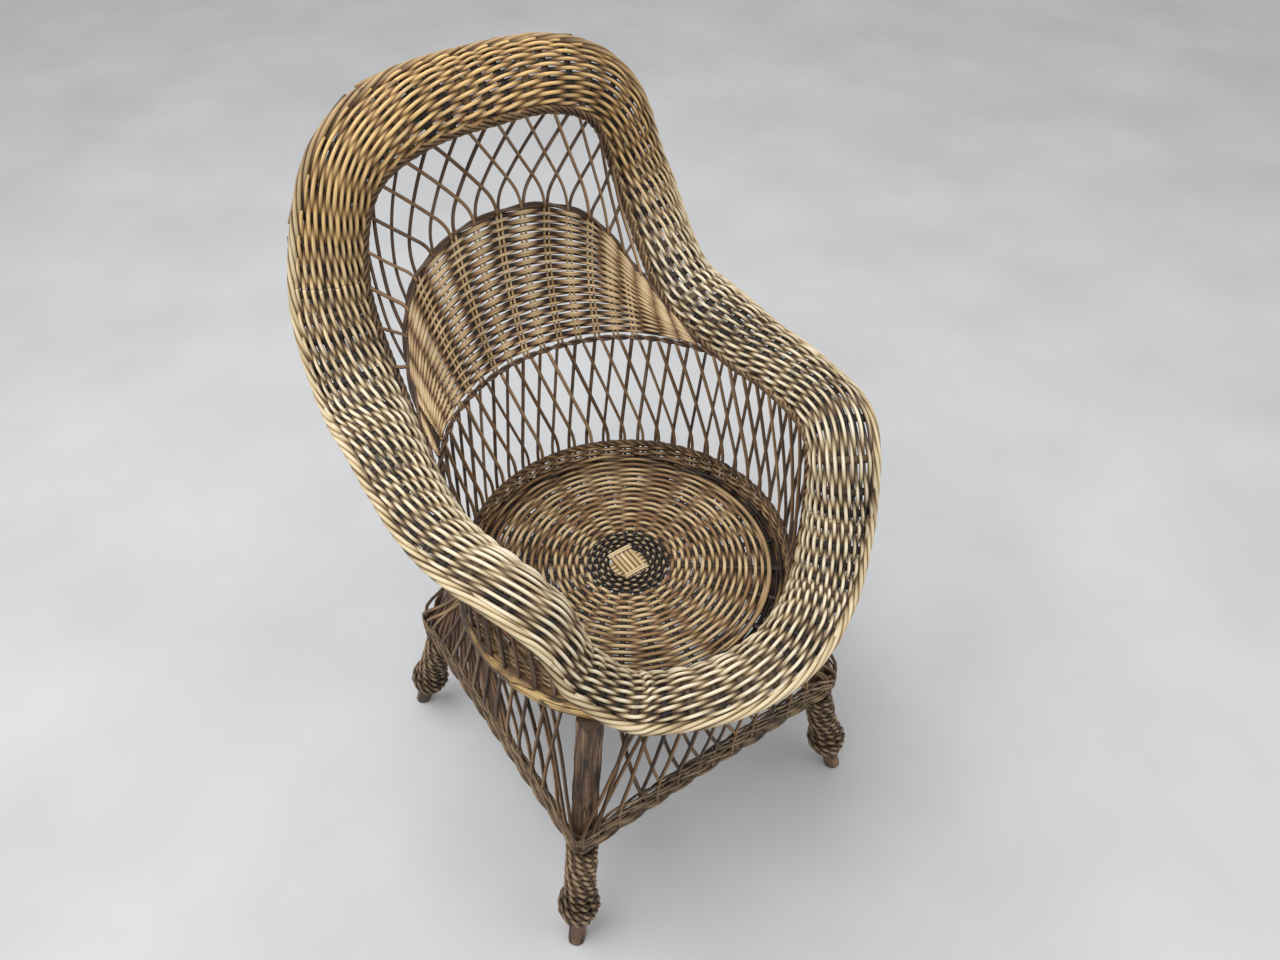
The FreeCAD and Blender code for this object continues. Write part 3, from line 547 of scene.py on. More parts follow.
looks = {
    "willowRoll": willow | {
        "deep": (24, 16, 10), "body": (104, 84, 60), "crown": (188, 169, 134), "pale": (236, 226, 202),
        "second": (140, 106, 64), "secondPale": (224, 188, 128), "secondHeights": (0.66, 0.84),
        "toneDepth": 0.2,
    },
    "willowEdge": willow | {
        "deep": (34, 25, 18), "body": (112, 90, 64), "crown": (192, 170, 130), "pale": (228, 212, 176),
        "second": (112, 86, 58), "secondPale": (176, 144, 100), "secondHeights": (0.8, 0.9),
        "toneDepth": 0.22,
    },
    "willowWale": willow | {
        "deep": (32, 23, 15), "body": (96, 73, 50), "crown": (148, 119, 84), "pale": (196, 168, 128),
    },
    "willowDark": willow | {
        "deep": (30, 22, 18), "body": (70, 51, 38), "crown": (104, 80, 60), "pale": (150, 124, 98),
    },
    "willowRod": willow | {
        "deep": (36, 26, 19), "body": (86, 65, 49), "crown": (124, 100, 77), "pale": (174, 148, 118),
    },
    "willowPaleRod": willow | {
        "deep": (44, 31, 21), "body": (102, 76, 53), "crown": (142, 112, 80), "pale": (190, 160, 122),
    },
    "willowPanel": willow | {
        "deep": (44, 30, 19), "body": (112, 84, 57), "crown": (166, 136, 97), "pale": (208, 184, 144),
        "toneDepth": 0.2,
    },
    "willowSeat": willow | {
        "deep": (36, 24, 15), "body": (118, 90, 60), "crown": (184, 156, 114), "pale": (216, 192, 150),
        "second": (104, 76, 50), "secondPale": (146, 112, 76), "secondFrom": 0.66, "toneDepth": 0.2,
    },
    "willowCentre": willow | {
        "deep": (22, 17, 13), "body": (48, 38, 30), "crown": (122, 100, 74), "pale": (184, 162, 128),
    },
    "willowStick": willow | {
        "deep": (70, 52, 32), "body": (150, 122, 84), "crown": (198, 170, 126), "pale": (224, 204, 164),
    },
    "willowSkirt": willow | {
        "deep": (28, 21, 15), "body": (86, 67, 49), "crown": (134, 110, 82), "pale": (180, 154, 120),
    },
    "willowSkirtRod": willow | {
        "deep": (34, 25, 17), "body": (92, 68, 46), "crown": (146, 114, 76), "pale": (200, 168, 124),
        "second": (82, 57, 40), "secondPale": (144, 110, 78), "secondFrom": 0.7,
    },
    "willowWrap": willow | {
        "deep": (26, 19, 14), "body": (80, 63, 48), "crown": (132, 108, 82), "pale": (174, 148, 116),
    },
}
finishes = {name: willowFinish(name, look) for name, look in looks.items()}
print("willow finishes made:", len(finishes))


# The rolled band: slanting rods woven over and under bent stakes

roll = {
    "rods": 72,
    "stakes": 84,
    "slope": 0.168,
    "longest": 720.0,
    "halfWidth": 2.5,
    "widthWave": 0.13,
    "halfDepth": 2.5,
    "lift": 2.1,
    "unevenness": 0.4,
    "jitter": 0.05,
    "sizes": (0.93, 1.07),
    "startSize": 1.06,
    "taper": 0.12,
    "dipShadePower": 0.9,
    "toneShares": (0.55, 0.45),
    "waveDrift": 0.3,
    "driftStep": 55.0,
    "liftStep": 40.0,
    "toneStep": 45.0,
    "stakeHalfWidth": 5.6,
    "stakeHalfDepth": 1.0,
    "stakeDrop": -0.4,
    "stakeStart": 0.03,
    "stakePoints": 22,
    "stakeShade": 0.06,
    "stakeUnder": 0.5,
    "spacing": 2.4,
    "firstShare": 0.02,
    "lastShare": 1.03,
    "innerShade": 0.45,
    "innerShadeFade": 5.0,
    "breaks": (-0.13, 0.13, 0.385, 0.615, 0.87),
    "names": ("back", "arm_right", "front", "arm_left"),
    "pieces": ("rollWeaveBack", "rollWeaveArmRight", "rollWeaveFront", "rollWeaveArmLeft"),
    "slots": ("golden_willow", "straw_willow", "straw_willow", "straw_willow"),
}


def stretchOf(share):
    # which stretch of the band a place on the rim belongs to
    first = roll["breaks"][0]
    share = np.mod(share - first, 1.0) + first
    return np.searchsorted(np.array(roll["breaks"][1:]), share, side="right")


def changing(lengths, step, low=0.0, high=1.0):
    # a number that wanders between two values along a rod
    marks = np.arange(lengths[0], lengths[-1] + 2 * step, step)
    return np.interp(lengths, marks, rng.uniform(low, high, len(marks)))


def rollRods():
    bands = [Strands() for name in roll["names"]]
    stakeStep = rimLength / roll["stakes"]
    rodStep = rimLength / roll["rods"]
    for index in range(roll["rods"]):
        start = (index + rng.normal(0, roll["jitter"])) * rodStep
        lengths = start + np.arange(0.0, roll["longest"], roll["spacing"])
        radius, turn = rollFrame(lengths)[3:]
        shares = roll["firstShare"] + np.cumsum(roll["slope"] * roll["spacing"] / (radius * turn))
        lengths = lengths[shares < roll["lastShare"]]
        shares = shares[shares < roll["lastShare"]]
        drift = changing(lengths, roll["driftStep"], -roll["waveDrift"], roll["waveDrift"])
        wave = np.cos(math.pi * (lengths / stakeStep + index) + drift)
        lift = roll["lift"] * wave + changing(lengths, roll["liftStep"], -1.0, 1.0) * roll["unevenness"]
        track, normal = rollPoint(lengths, shares, lift)
        size = rng.uniform(*roll["sizes"]) * (roll["startSize"] - roll["taper"] * shares)
        width = roll["halfWidth"] * (1 - roll["widthWave"] * wave) * size
        # painted shade where the rod dips under a stake, painted highlight on its crown
        raised = (0.5 + 0.5 * wave) ** roll["dipShadePower"]
        # painted shade towards the band's inner edge
        raised = raised * np.clip(roll["innerShade"] + roll["innerShadeFade"] * shares, 0.0, 1.0)
        ownTone, changingTone = roll["toneShares"]
        tone = ownTone * rng.random() + changingTone * changing(lengths, roll["toneStep"])
        stretches = stretchOf(lengths / rimLength)
        # the rod is cut where one stretch of the band ends and the next begins
        for run in np.split(np.arange(len(lengths)), np.flatnonzero(np.diff(stretches)) + 1):
            rows = np.arange(run[0], min(run[-1] + 2, len(lengths)))
            depth = roll["halfDepth"] * size[rows]
            band = bands[stretches[run[0]]]
            band.add(track[rows], normal[rows], width[rows], depth, tone[rows], raised[rows])
    count = roll["stakePoints"]
    for index in range(roll["stakes"]):
        length = (index + rng.normal(0, roll["jitter"])) * stakeStep
        track, normal = rollPoint(np.full(count, length), np.linspace(roll["stakeStart"], 1.0, count),
                                  np.full(count, roll["stakeDrop"]))
        band = bands[int(stretchOf(length / rimLength))]
        # the stakes are painted in shade, as they lie in the dark slits
        band.add(track, normal, roll["stakeHalfWidth"], roll["stakeHalfDepth"], raised=roll["stakeShade"],
                 sides=6, under=roll["stakeUnder"])
    for name, piece, slot, band in zip(roll["names"], roll["pieces"], roll["slots"], bands):
        nodes = ["roll_" + name] + (["roll_stakes"] if name == "back" else [])
        band.build(piece, finishes["willowRoll"], slot, nodes)


rollRods()

rim = {
    "strands": 5,
    "helixRadius": 3.7,
    "radius": 2.15,
    "pitch": 52.0,
    "spacing": 3.0,
    "toneStep": 80.0,
    "shadeAndWear": (0.2, 0.5),
    "edgeStrands": 6,
    "edgeHelixRadius": 4.4,
    "edgeRadius": 2.55,
    "edgePitch": -125.0,
    "edgeGap": 6.6,
    "edgeSizes": (0.85, 1.1),
    "edgeSizeStep": 40.0,
    "edgeFlatness": 0.9,
    "edgeToneStep": 60.0,
    "edgeShadeAndWear": (0.25, 0.75),
    "stubs": 17,
    "stubReach": 0.115,
    "stubLength": 24.0,
    "stubRadius": 2.4,
    "stubRise": (2.0, 4.0, 7.0),
    "stubLift": (-1.0, 3.0),
    "stubLengths": (0.7, 1.3),
    "stubJitter": 0.002,
    "stubShadeAndWear": 0.5,
    "stubPoints": 7,
}


def edgeFrame(lengths):
    # a place on the band's outer edge and its outward direction
    radius, turn = rollFrame(lengths)[3:]
    return rollPoint(lengths, 1 + rim["edgeGap"] / (radius * turn), np.zeros(len(lengths)))


def edgePlace(lengths):
    return edgeFrame(lengths)[0]


def edgeOutward(lengths):
    return edgeFrame(lengths)[1]


def rimRiseDirection(lengths):
    return rollFrame(lengths)[2]


def rimWales():
    inner = Strands()
    pitch = rimLength / round(rimLength / rim["pitch"])
    for line, normal, facing, lengths in twist(rimAt, 0.0, rimLength, rim["spacing"], rim["strands"],
                                               rim["helixRadius"], pitch, rimRiseDirection):
        # painted highlight where a strand faces out, painted shade where it turns in
        inner.add(line, normal, rim["radius"], rim["radius"], changing(lengths, rim["toneStep"]),
                  shadeAndWearFrom(rim["shadeAndWear"], facing))
    inner.build("rimWale", finishes["willowWale"], "rim_willow", ["inner_rim_wale"])
    outer = Strands()
    turns = round(rimLength / abs(rim["edgePitch"]))
    pitch = math.copysign(rimLength / turns, rim["edgePitch"])
    for line, normal, facing, lengths in twist(edgePlace, 0.0, rimLength, rim["spacing"], rim["edgeStrands"],
                                               rim["edgeHelixRadius"], pitch, edgeOutward):
        width = rim["edgeRadius"] * changing(lengths, rim["edgeSizeStep"], *rim["edgeSizes"])
        # painted highlight where a strand faces out, painted shade where it turns in
        outer.add(line, normal, width, width * rim["edgeFlatness"], changing(lengths, rim["edgeToneStep"]),
                  shadeAndWearFrom(rim["edgeShadeAndWear"], facing))
    # cut ends of rods that stand out over the back
    count = rim["stubPoints"]
    rootRise, leastRise, mostRise = rim["stubRise"]
    for share in np.linspace(-rim["stubReach"], rim["stubReach"], rim["stubs"]):
        first = (share + rng.normal(0, rim["stubJitter"])) * rimLength
        reach = rim["stubLength"] * rng.uniform(*rim["stubLengths"])
        run = first + np.linspace(0.0, reach, count) * rng.choice((-1, 1))
        beyond = unit(edgePlace(run) - rollPoint(run, np.ones(count), np.zeros(count))[0])
        outward = edgeOutward(run)
        rise = np.linspace(rootRise, rng.uniform(leastRise, mostRise), count)[:, None]
        # painted highlight on the stub's face, painted shade on its sides
        outer.add(edgePlace(run) + beyond * rise + outward * rng.uniform(*rim["stubLift"]), outward,
                  rim["stubRadius"], rim["stubRadius"], raised=rim["stubShadeAndWear"])
    outer.build("outerPlait", finishes["willowEdge"], "rim_willow", ["outer_border"])


rimWales()
print("rolled band done")


# The round wall: two layers of crossing rods, and the wale at their feet

wall = {
    "rodRadius": 2.2,
    "offset": 2.5,
    "leanRight": 4.7,
    "leanLeft": 15.0,
    "pairHalf": 1.1,
    "shoulder": 0.2,
    "shoulderOutside": 0.1,
    "footOutside": -3.0,
    "footInside": 2.0,
    "points": 20,
    "wander": 0.35,
    "wanderStep": 40.0,
    "leanSpread": 0.02,
    "footSpread": 0.15,
    "sizes": (0.88, 1.12),
    "shadesAndWears": (0.45, 0.8),
    "searchPoints": 80,
    "shortest": 12.0,
    "waleRows": 7,
    "waleHalf": 2.6,
    "waleWave": 1.9,
    "waleRadius": 2.1,
    "waleUnevenness": 0.5,
    "waleUnevenStep": 30.0,
    "waleSizes": (0.94, 1.06),
    "waleToneStep": 25.0,
    "waleShadeAndWear": (0.5, 0.4),
    "walePoints": 8,
    "topStrands": 3,
    "topSpacing": 3.0,
    "topToneStep": 90.0,
    "topShadeAndWear": (0.1, 0.45),
    "waleHelix": 2.2,
    "walePitch": 42.0,
}


def easeIn(share, bend):
    # no lean at first, then an even one
    share = np.clip(share, 0.0, 1.0)
    return np.where(share < bend, share ** 2 / (2 * bend), share - bend / 2) / (1 - bend / 2)


def wallRods(lean, layer, name, finish, slot, node):
    rods = Strands()
    rise = chair["borderHeight"] - waleTop
    foot = hoopTop + (wall["footOutside"] if layer > 0 else wall["footInside"])
    bend = wall["shoulderOutside"] if layer > 0 else wall["shoulder"]
    for index in range(chair["stations"]):
        head = index * stationAngle + chair["wallPhase"] - math.copysign(wall["pairHalf"], lean)
        turn = lean * rng.normal(1.0, wall["leanSpread"])
        start = head - turn + rng.normal(0, wall["footSpread"])
        shares = np.linspace(0.0, 1.0, wall["searchPoints"])
        angles = start + turn * easeIn(shares, bend)
        # a rod ends where it meets the rim
        clear = np.cumprod(edgeHeight(signedAngle(angles)) > waleTop + rise * shares).astype(bool)
        top = waleTop + rise * (shares[clear][-1] if clear.any() else 0.0)
        if top - waleTop < wall["shortest"]:
            continue
        heights = np.linspace(foot, top, wall["points"])
        leant = start + turn * easeIn((heights - waleTop) / rise, bend)
        lift = layer * wall["offset"] + wall["wander"] * changing(heights, wall["wanderStep"], -1.0, 1.0)
        track = wallRound(leant, heights, lift)
        radius = wall["rodRadius"] * rng.uniform(*wall["sizes"])
        inward = unit(track * np.array([-1, -1, 0]))
        # painted highlight on the rod's face towards the seat's middle, painted shade on its sides
        rods.add(track, inward, radius, radius, raised=rng.uniform(*wall["shadesAndWears"]))
    rods.build(name, finishes[finish], slot, [node])


def seatWale():
    wale = Strands()
    radius = chair["wallRadius"] - chair["waleWidth"] / 2
    step = chair["waleHeight"] / wall["waleRows"]
    angles = np.linspace(0.0, fullTurn, chair["stations"] * wall["walePoints"] + 1)
    for row in range(wall["waleRows"] - 1):
        wave = np.cos(math.pi * (angles / stationAngle + row))
        # the unevenness is nothing where the row closes on itself
        uneven = wall["waleUnevenness"] * changing(angles, wall["waleUnevenStep"], -1.0, 1.0) \
            * np.sin(np.radians(angles / 2))
        size = wall["waleHalf"] * rng.uniform(*wall["waleSizes"])
        track = polar(radius - wall["waleWave"] * wave, angles, hoopTop + step * (row + 0.5) + uneven)
        # painted shade where a row dips behind a stake, painted highlight where it passes over
        wale.add(track, -polar(1.0, angles, 0.0), size, wall["waleRadius"],
                 changing(angles, wall["waleToneStep"]), shadeAndWearFrom(wall["waleShadeAndWear"], wave))
    length = 2 * math.pi * radius
    height = hoopTop + chair["waleHeight"] - step / 2

    def place(run):
        return polar(radius, run / length * fullTurn, height)

    def inward(run):
        return -polar(1.0, run / length * fullTurn, 0.0)

    pitch = length / round(length / wall["walePitch"])
    for line, normal, facing, run in twist(place, 0.0, length, wall["topSpacing"], wall["topStrands"],
                                           wall["waleHelix"], pitch, inward):
        # painted highlight where a strand faces out, painted shade where it turns in
        wale.add(line, normal, wall["waleRadius"], wall["waleRadius"], changing(run, wall["topToneStep"]),
                 shadeAndWearFrom(wall["topShadeAndWear"], facing))
    wale.build("seatWale", finishes["willowWale"], "rod_willow", ["seat_edge_wale"])


wallRods(wall["leanRight"], 1, "wallRodsRight", "willowRod", "rod_willow", "wall_rods_right")
wallRods(-wall["leanLeft"], -1, "wallRodsLeft", "willowPaleRod", "pale_rod_willow", "wall_rods_left")
seatWale()
print("round wall done")


# The back: border wale, woven panel, bent arch and crossing rods

back = {
    "rodRadius": 2.0,
    "offset": 2.3,
    "lean": 0.24,
    "leanFall": 0.18,
    "pairHalf": 0.009,
    "pairs": 7,
    "shoulder": 0.32,
    "archEnd": 0.93,
    "spread": 0.002,
    "leanSpread": 0.02,
    "sizes": (0.9, 1.1),
    "shadesAndWears": (0.4, 0.75),
    "footShare": -0.02,
    "points": 26,
    "panelEnd": 0.97,
    "rows": 64,
    "weaverHalfWidth": 1.86,
    "weaverHalfDepth": 1.62,
    "weaverLift": 1.9,
    "pinch": 0.28,
    "leastPitch": 3.0,
    "rowsEnd": (1.0, 4.0, 2.0, 8.0),
    "borderGap": 4.2,
    "archGap": 3.8,
    "stakeRadius": 1.7,
    "stakeSpacing": 5.2,
    "stakePairs": 6,
    "archRadius": 2.2,
    "archHelix": 1.9,
    "archPitch": 120.0,
    "borderRadius": 2.0,
    "borderHelix": 1.9,
    "borderPitch": 40.0,
    "borderSpacing": 3.0,
    "borderToneStep": 50.0,
    "borderShadeAndWear": (0.25, 0.5),
    "archSpacing": 4.0,
    "archShadeAndWear": (0.25, 0.35),
    "archUp": 0.5,
    "walePoints": 240,
    "waleStrands": 2,
    "columns": 14,
    "panelPoints": 300,
    "waveSharpness": 1.7,
    "liftSpread": 0.2,
    "rowSpread": 0.05,
    "normalUp": 0.3,
    "weaverSizes": (0.94, 1.06),
    "toneShares": (0.25, 0.75),
    "toneStep": 0.15,
    "shadeAndWear": (0.35, 0.65),
    "stakePoints": 18,
}


def backRods(side, name, finish, slot, node):
    rods = Strands()
    for index in range(-back["pairs"], back["pairs"] + 1):
        start = pairAcross(index) + side * back["pairHalf"] + rng.normal(0, back["spread"])
        lean = side * (back["lean"] - back["leanFall"] * abs(start)) * rng.normal(1.0, back["leanSpread"])
        if abs(start + lean) > back["archEnd"]:
            continue
        shares = np.linspace(back["footShare"], 1.0, back["points"])
        across = start + lean * easeIn(shares, back["shoulder"])
        low = archUp(start) * wallRise(start)
        high = wallRise(start + lean)
        up = (low + (high - low) * shares) / wallRise(across)
        normal = wallNormal(across, up)
        track = wallBack(across, up) - normal * (side * back["offset"])
        radius = back["rodRadius"] * rng.uniform(*back["sizes"])
        # painted highlight on the rod's face, painted shade on its sides
        rods.add(track, normal, radius, radius, raised=rng.uniform(*back["shadesAndWears"]))
    rods.build(name, finishes[finish], slot, [node])


def panelPlace(across, row, lift):
    # a row's place and the distance to the next one
    top = wallBack(across, np.ones_like(across))
    height = np.linalg.norm(top - wallBack(across, np.zeros_like(across)), axis=-1)
    low = back["borderGap"] / height
    high = archUp(across) - back["archGap"] / height
    up = low + (high - low) * (row + 0.5) / back["rows"]
    pitch = (high - low) * height / back["rows"]
    return wallBack(across, up) + wallNormal(across, up) * lift[:, None], pitch


def columnAt(across, up):
    # which pair of stakes a place of the panel is at, counted from the middle
    counts = np.arange(-back["columns"], back["columns"] + 1)
    places = borderAcross(counts) * (1 - up) + pairAcross(counts) * up
    return np.interp(across, places, counts)


def backPanel():
    weave = Strands()
    across = np.linspace(-back["panelEnd"], back["panelEnd"], back["panelPoints"])
    ownTone, changingTone = back["toneShares"]
    for row in range(back["rows"]):
        column = columnAt(across, (row + 0.5) / back["rows"])
        group = (row // 2) % 2
        wave = np.cos(math.pi * (column + group))
        lift = back["weaverLift"] * np.tanh(back["waveSharpness"] * wave)
        lift = lift + back["liftSpread"] * rng.normal(0, 1)
        pinch = back["pinch"] * (1 - np.abs(wave)) * (0.5 if row % 2 == 0 else -0.5)
        track, pitch = panelPlace(across, row + pinch + back["rowSpread"] * rng.normal(0, 1), lift)
        # towards the corners the rows lie closer, and fewer of them go on
        rows = np.flatnonzero(pitch * back["rowsEnd"][row % len(back["rowsEnd"])] > back["leastPitch"])
        normal = wallNormal(across, np.full_like(across, back["normalUp"]))
        size = rng.uniform(*back["weaverSizes"])
        tone = ownTone * rng.random() + changingTone * changing(across, back["toneStep"])
        # painted shade where a row dips behind the stakes, painted highlight where it passes over
        raised = np.clip(shadeAndWearFrom(back["shadeAndWear"], wave), 0.0, 1.0)
        weave.add(track[rows], normal[rows], back["weaverHalfWidth"] * size, back["weaverHalfDepth"] * size,
                  tone[rows], raised[rows], sides=6)
    weave.build("panelWeave", finishes["willowPanel"], "panel_willow", ["back_panel_weave"])
    stakes = Strands()
    half = back["stakeSpacing"] / (2 * chair["wallRadius"] * math.radians(chair["junctionAngle"]))
    shares = np.linspace(0.0, 1.0, back["stakePoints"])
    for index in range(-back["stakePairs"], back["stakePairs"] + 1):
        for side in (-half, half):
            place = borderAcross(index) * (1 - shares) + pairAcross(index) * shares + side
            up = shares * archUp(place)
            # painted highlight on the stake's face, painted shade on its sides
            stakes.add(wallBack(place, up), wallNormal(place, up), back["stakeRadius"], back["stakeRadius"],
                       raised=0.5)
    stakes.build("panelStakes", finishes["willowStick"], "stick_willow", ["back_panel_stakes"])


def following(track):
    # the track as a function of the length along it, and the lengths of its points
    lengths = trackLengths(track)

    def place(run):
        return np.stack([np.interp(run, lengths, track[:, axis]) for axis in range(3)], -1)

    return place, lengths


def backWales():
    angles = np.linspace(-chair["junctionAngle"], chair["junctionAngle"], back["walePoints"])
    borderPlace, lengths = following(polar(edgeRadius(angles), angles, borderLevel(angles)))

    def inward(run):
        return -borderPlace(run) * np.array([1, 1, 0])

    border = Strands()
    for line, normal, facing, run in twist(borderPlace, 0.0, lengths[-1], back["borderSpacing"],
                                           back["waleStrands"], back["borderHelix"], back["borderPitch"],
                                           inward):
        # painted highlight where a strand faces out, painted shade where it turns in
        border.add(line, normal, back["borderRadius"], back["borderRadius"],
                   changing(run, back["borderToneStep"]), shadeAndWearFrom(back["borderShadeAndWear"], facing))
    border.build("borderWale", finishes["willowDark"], "rod_willow", ["back_border_wale"])
    across = np.linspace(-back["archEnd"], back["archEnd"], back["walePoints"])
    archPlace, archLengths = following(wallBack(across, archUp(across)))

    def outward(run):
        return wallNormal(np.interp(run, archLengths, across), np.full(len(run), back["archUp"]))

    arch = Strands()
    for line, normal, facing, run in twist(archPlace, 0.0, archLengths[-1], back["archSpacing"],
                                           back["waleStrands"], back["archHelix"], back["archPitch"],
                                           outward):
        # painted highlight where a strand faces out, painted shade where it turns in
        arch.add(line, normal, back["archRadius"], back["archRadius"],
                 raised=shadeAndWearFrom(back["archShadeAndWear"], facing))
    arch.build("backArch", finishes["willowDark"], "rod_willow", ["back_arch"])


backRods(1, "backRodsRight", "willowRod", "rod_willow", "back_rods_right")
backRods(-1, "backRodsLeft", "willowPaleRod", "pale_rod_willow", "back_rods_left")
backPanel()
backWales()
print("back done")


# The seat: crossed sticks, spokes and rows of weaving

seat = {
    "spokes": 24,
    "spokeHalfWidth": 3.8,
    "spokeHalfDepth": 2.0,
    "level": 7.4,
    "rows": 30,
    "inner": 53.0,
    "outer": 195.0,
    "halfWidth": 2.75,
    "widthWave": 0.14,
    "halfDepth": 2.5,
    "lift": 2.1,
    "fewPoints": 8,
    "manyPoints": 12,
    "manyFrom": 110.0,
    "sizes": (0.94, 1.06),
    "wander": 0.7,
    "wanderMarks": 13,
    "toneMarks": 9,
    "darkRows": 5,
    "outerRowShade": 0.7,
    "edgeRise": 5.0,
    "edgeRiseFrom": 180.0,
    "grooveRadius": 186.0,
    "grooveHalf": 6.0,
    "grooveFrom": 50.0,
    "grooveTo": 180.0,
    "grooveFade": 20.0,
    "grooveDepth": 4.5,
    "groovePower": 4,
    "seamRadius": 177.5,
    "seamHalf": 3.1,
    "seamLift": 3.4,
    "seamDrop": 3.0,
    "seamFade": 18.0,
    "seamStart": 5.0,
    "seamPoints": 90,
    "seamEnd": 0.3,
    "seamFlatness": 0.8,
    "seamTone": 0.7,
    "seamShadeAndWear": 0.7,
    "centreRows": 6,
    "centreInner": 26.0,
    "centreOuter": 51.0,
    "centreRadius": 1.9,
    "centreLift": 1.7,
    "crossLength": 46.0,
    "centreRise": 1.5,
    "centrePoints": 10,
    "centreWidthWave": 0.12,
    "centreToneStep": 15.0,
    "centreDipShadePower": 1.5,
    "upperLevel": 3.1,
    "stickEnd": 0.8,
    "stickEndShare": 0.08,
    "stickSpread": 0.25,
    "stickShadeAndWear": 0.75,
    "tieReach": 1.0,
    "tiePower": 6,
    "tieShadeAndWear": 0.95,
    "spokeSpread": 0.4,
    "spokeShade": 0.1,
    "spokeUnder": 0.6,
    "stickPoints": 14,
    "tieInset": 2.2,
    "tieStep": 3.2,
    "tieLift": 3.4,
    "tieDrop": 2.0,
    "tieHalfWidth": 1.5,
    "tieHalfDepth": 1.0,
    "tiePoints": 24,
    "spokePoints": 20,
    "spokeInner": 24.0,
    "spokeDrop": 0.4,
    "stickPitch": 6.4,
    "stickRadius": 2.85,
    "sticks": 5,
}

def grooveShare(angles):
    # 1 along the gap at the seat's right, where the rows drop and are painted in shade, 0 elsewhere, with
    # soft ends
    first = (angles - seat["grooveFrom"]) / seat["grooveFade"]
    last = (seat["grooveTo"] - angles) / seat["grooveFade"]
    return np.clip(np.minimum(first, last), 0.0, 1.0)


def closedValues(values, angles):
    # values at even steps round the seat, ending as they begin
    values[-1] = values[0]
    return np.interp(angles, np.linspace(0.0, fullTurn, len(values)), values)


def facingUp(count):
    return np.tile(upward, (count, 1))


def seatRows(weave, level):
    pitch = (seat["outer"] - seat["inner"]) / seat["rows"]
    rimWidth = seat["outer"] - seat["edgeRiseFrom"]
    for row in range(seat["rows"]):
        radius = seat["inner"] + pitch * (row + 0.5)
        points = seat["fewPoints"] if radius < seat["manyFrom"] else seat["manyPoints"]
        angles = np.linspace(0.0, fullTurn, seat["spokes"] * points + 1)
        wave = np.cos(math.pi * (angles * seat["spokes"] / fullTurn - 0.5 + row))
        wander = closedValues(rng.normal(0, seat["wander"], seat["wanderMarks"]), angles)
        fromGroove = (radius - seat["grooveRadius"]) / seat["grooveHalf"]
        groove = grooveShare(angles) * np.exp(-fromGroove ** seat["groovePower"])
        rise = seat["edgeRise"] * max(0.0, (radius - seat["edgeRiseFrom"]) / rimWidth) ** 2
        height = level + seat["lift"] * wave + rise * (1 - groove) - seat["grooveDepth"] * groove
        width = seat["halfWidth"] * (1 - seat["widthWave"] * wave) * rng.uniform(*seat["sizes"])
        tone = closedValues(rng.random(seat["toneMarks"]), angles)
        # painted shade on the outer rows, next to the wall
        shadeAndWear = 1.0 if row < seat["rows"] - seat["darkRows"] else seat["outerRowShade"]
        # painted shade in the dips and in the gap, painted highlight on the crowns
        weave.add(polar(radius + wander, angles, height), facingUp(len(angles)), width, seat["halfDepth"],
                  tone, (0.5 + 0.5 * wave) * shadeAndWear * (1 - groove))


def seatSeam(weave, level):
    # the rod along the gap, thinner towards its ends
    count = seat["seamPoints"]
    angles = np.linspace(seat["grooveFrom"] + seat["seamStart"], seat["grooveTo"] - seat["seamStart"], count)
    toEnd = np.minimum(angles - angles[0], angles[-1] - angles)
    size = seat["seamHalf"] * np.minimum(1.0, seat["seamEnd"] + toEnd / seat["seamFade"])
    height = level + seat["seamLift"] - seat["seamDrop"] * (1 - size / seat["seamHalf"])
    # painted highlight on the rod's top, painted shade on its sides
    weave.add(polar(seat["seamRadius"], angles, height), facingUp(count), size, size * seat["seamFlatness"],
              seat["seamTone"], seat["seamShadeAndWear"])


def seatWeave():
    level = hoopTop + seat["level"]
    weave = Strands()
    seatRows(weave, level)
    seatSeam(weave, level)
    weave.build("seatWeave", finishes["willowSeat"], "seat_willow", ["seat_weave"])
    spokes = Strands()
    count = seat["spokePoints"]
    for index in range(seat["spokes"]):
        angle = fullTurn * (index + 0.5) / seat["spokes"]
        run = np.linspace(seat["spokeInner"], chair["hoopRadius"], count)
        track = polar(run, angle + rng.normal(0, seat["spokeSpread"]), level - seat["spokeDrop"])
        # the spokes are painted in shade on top, where they lie under the rows, and paler underneath
        spokes.add(track, facingUp(count), seat["spokeHalfWidth"], seat["spokeHalfDepth"],
                   raised=seat["spokeShade"], under=seat["spokeUnder"])
    spokes.build("seatSpokes", finishes["willowDark"], "rod_willow", ["seat_spokes"])


def centreWeave():
    level = hoopTop + seat["level"] + seat["centreRise"]
    centre = Strands()
    pitch = (seat["centreOuter"] - seat["centreInner"]) / seat["centreRows"]
    for row in range(seat["centreRows"]):
        radius = seat["centreInner"] + pitch * (row + 0.5)
        angles = np.linspace(0.0, fullTurn, seat["spokes"] * seat["centrePoints"] + 1)
        wave = np.cos(math.pi * (angles * seat["spokes"] / fullTurn - 0.5 + row))
        width = seat["centreRadius"] * (1 - seat["centreWidthWave"] * wave)
        # painted shade where a row dips, painted highlight where it passes over
        centre.add(polar(radius, angles, level + seat["centreLift"] * wave), facingUp(len(angles)), width,
                   seat["centreRadius"], changing(angles, seat["centreToneStep"]),
                   np.clip(wave, 0.0, 1.0) ** seat["centreDipShadePower"])
    centre.build("seatCentreWeave", finishes["willowCentre"], "centre_willow", ["seat_centre_weave"])


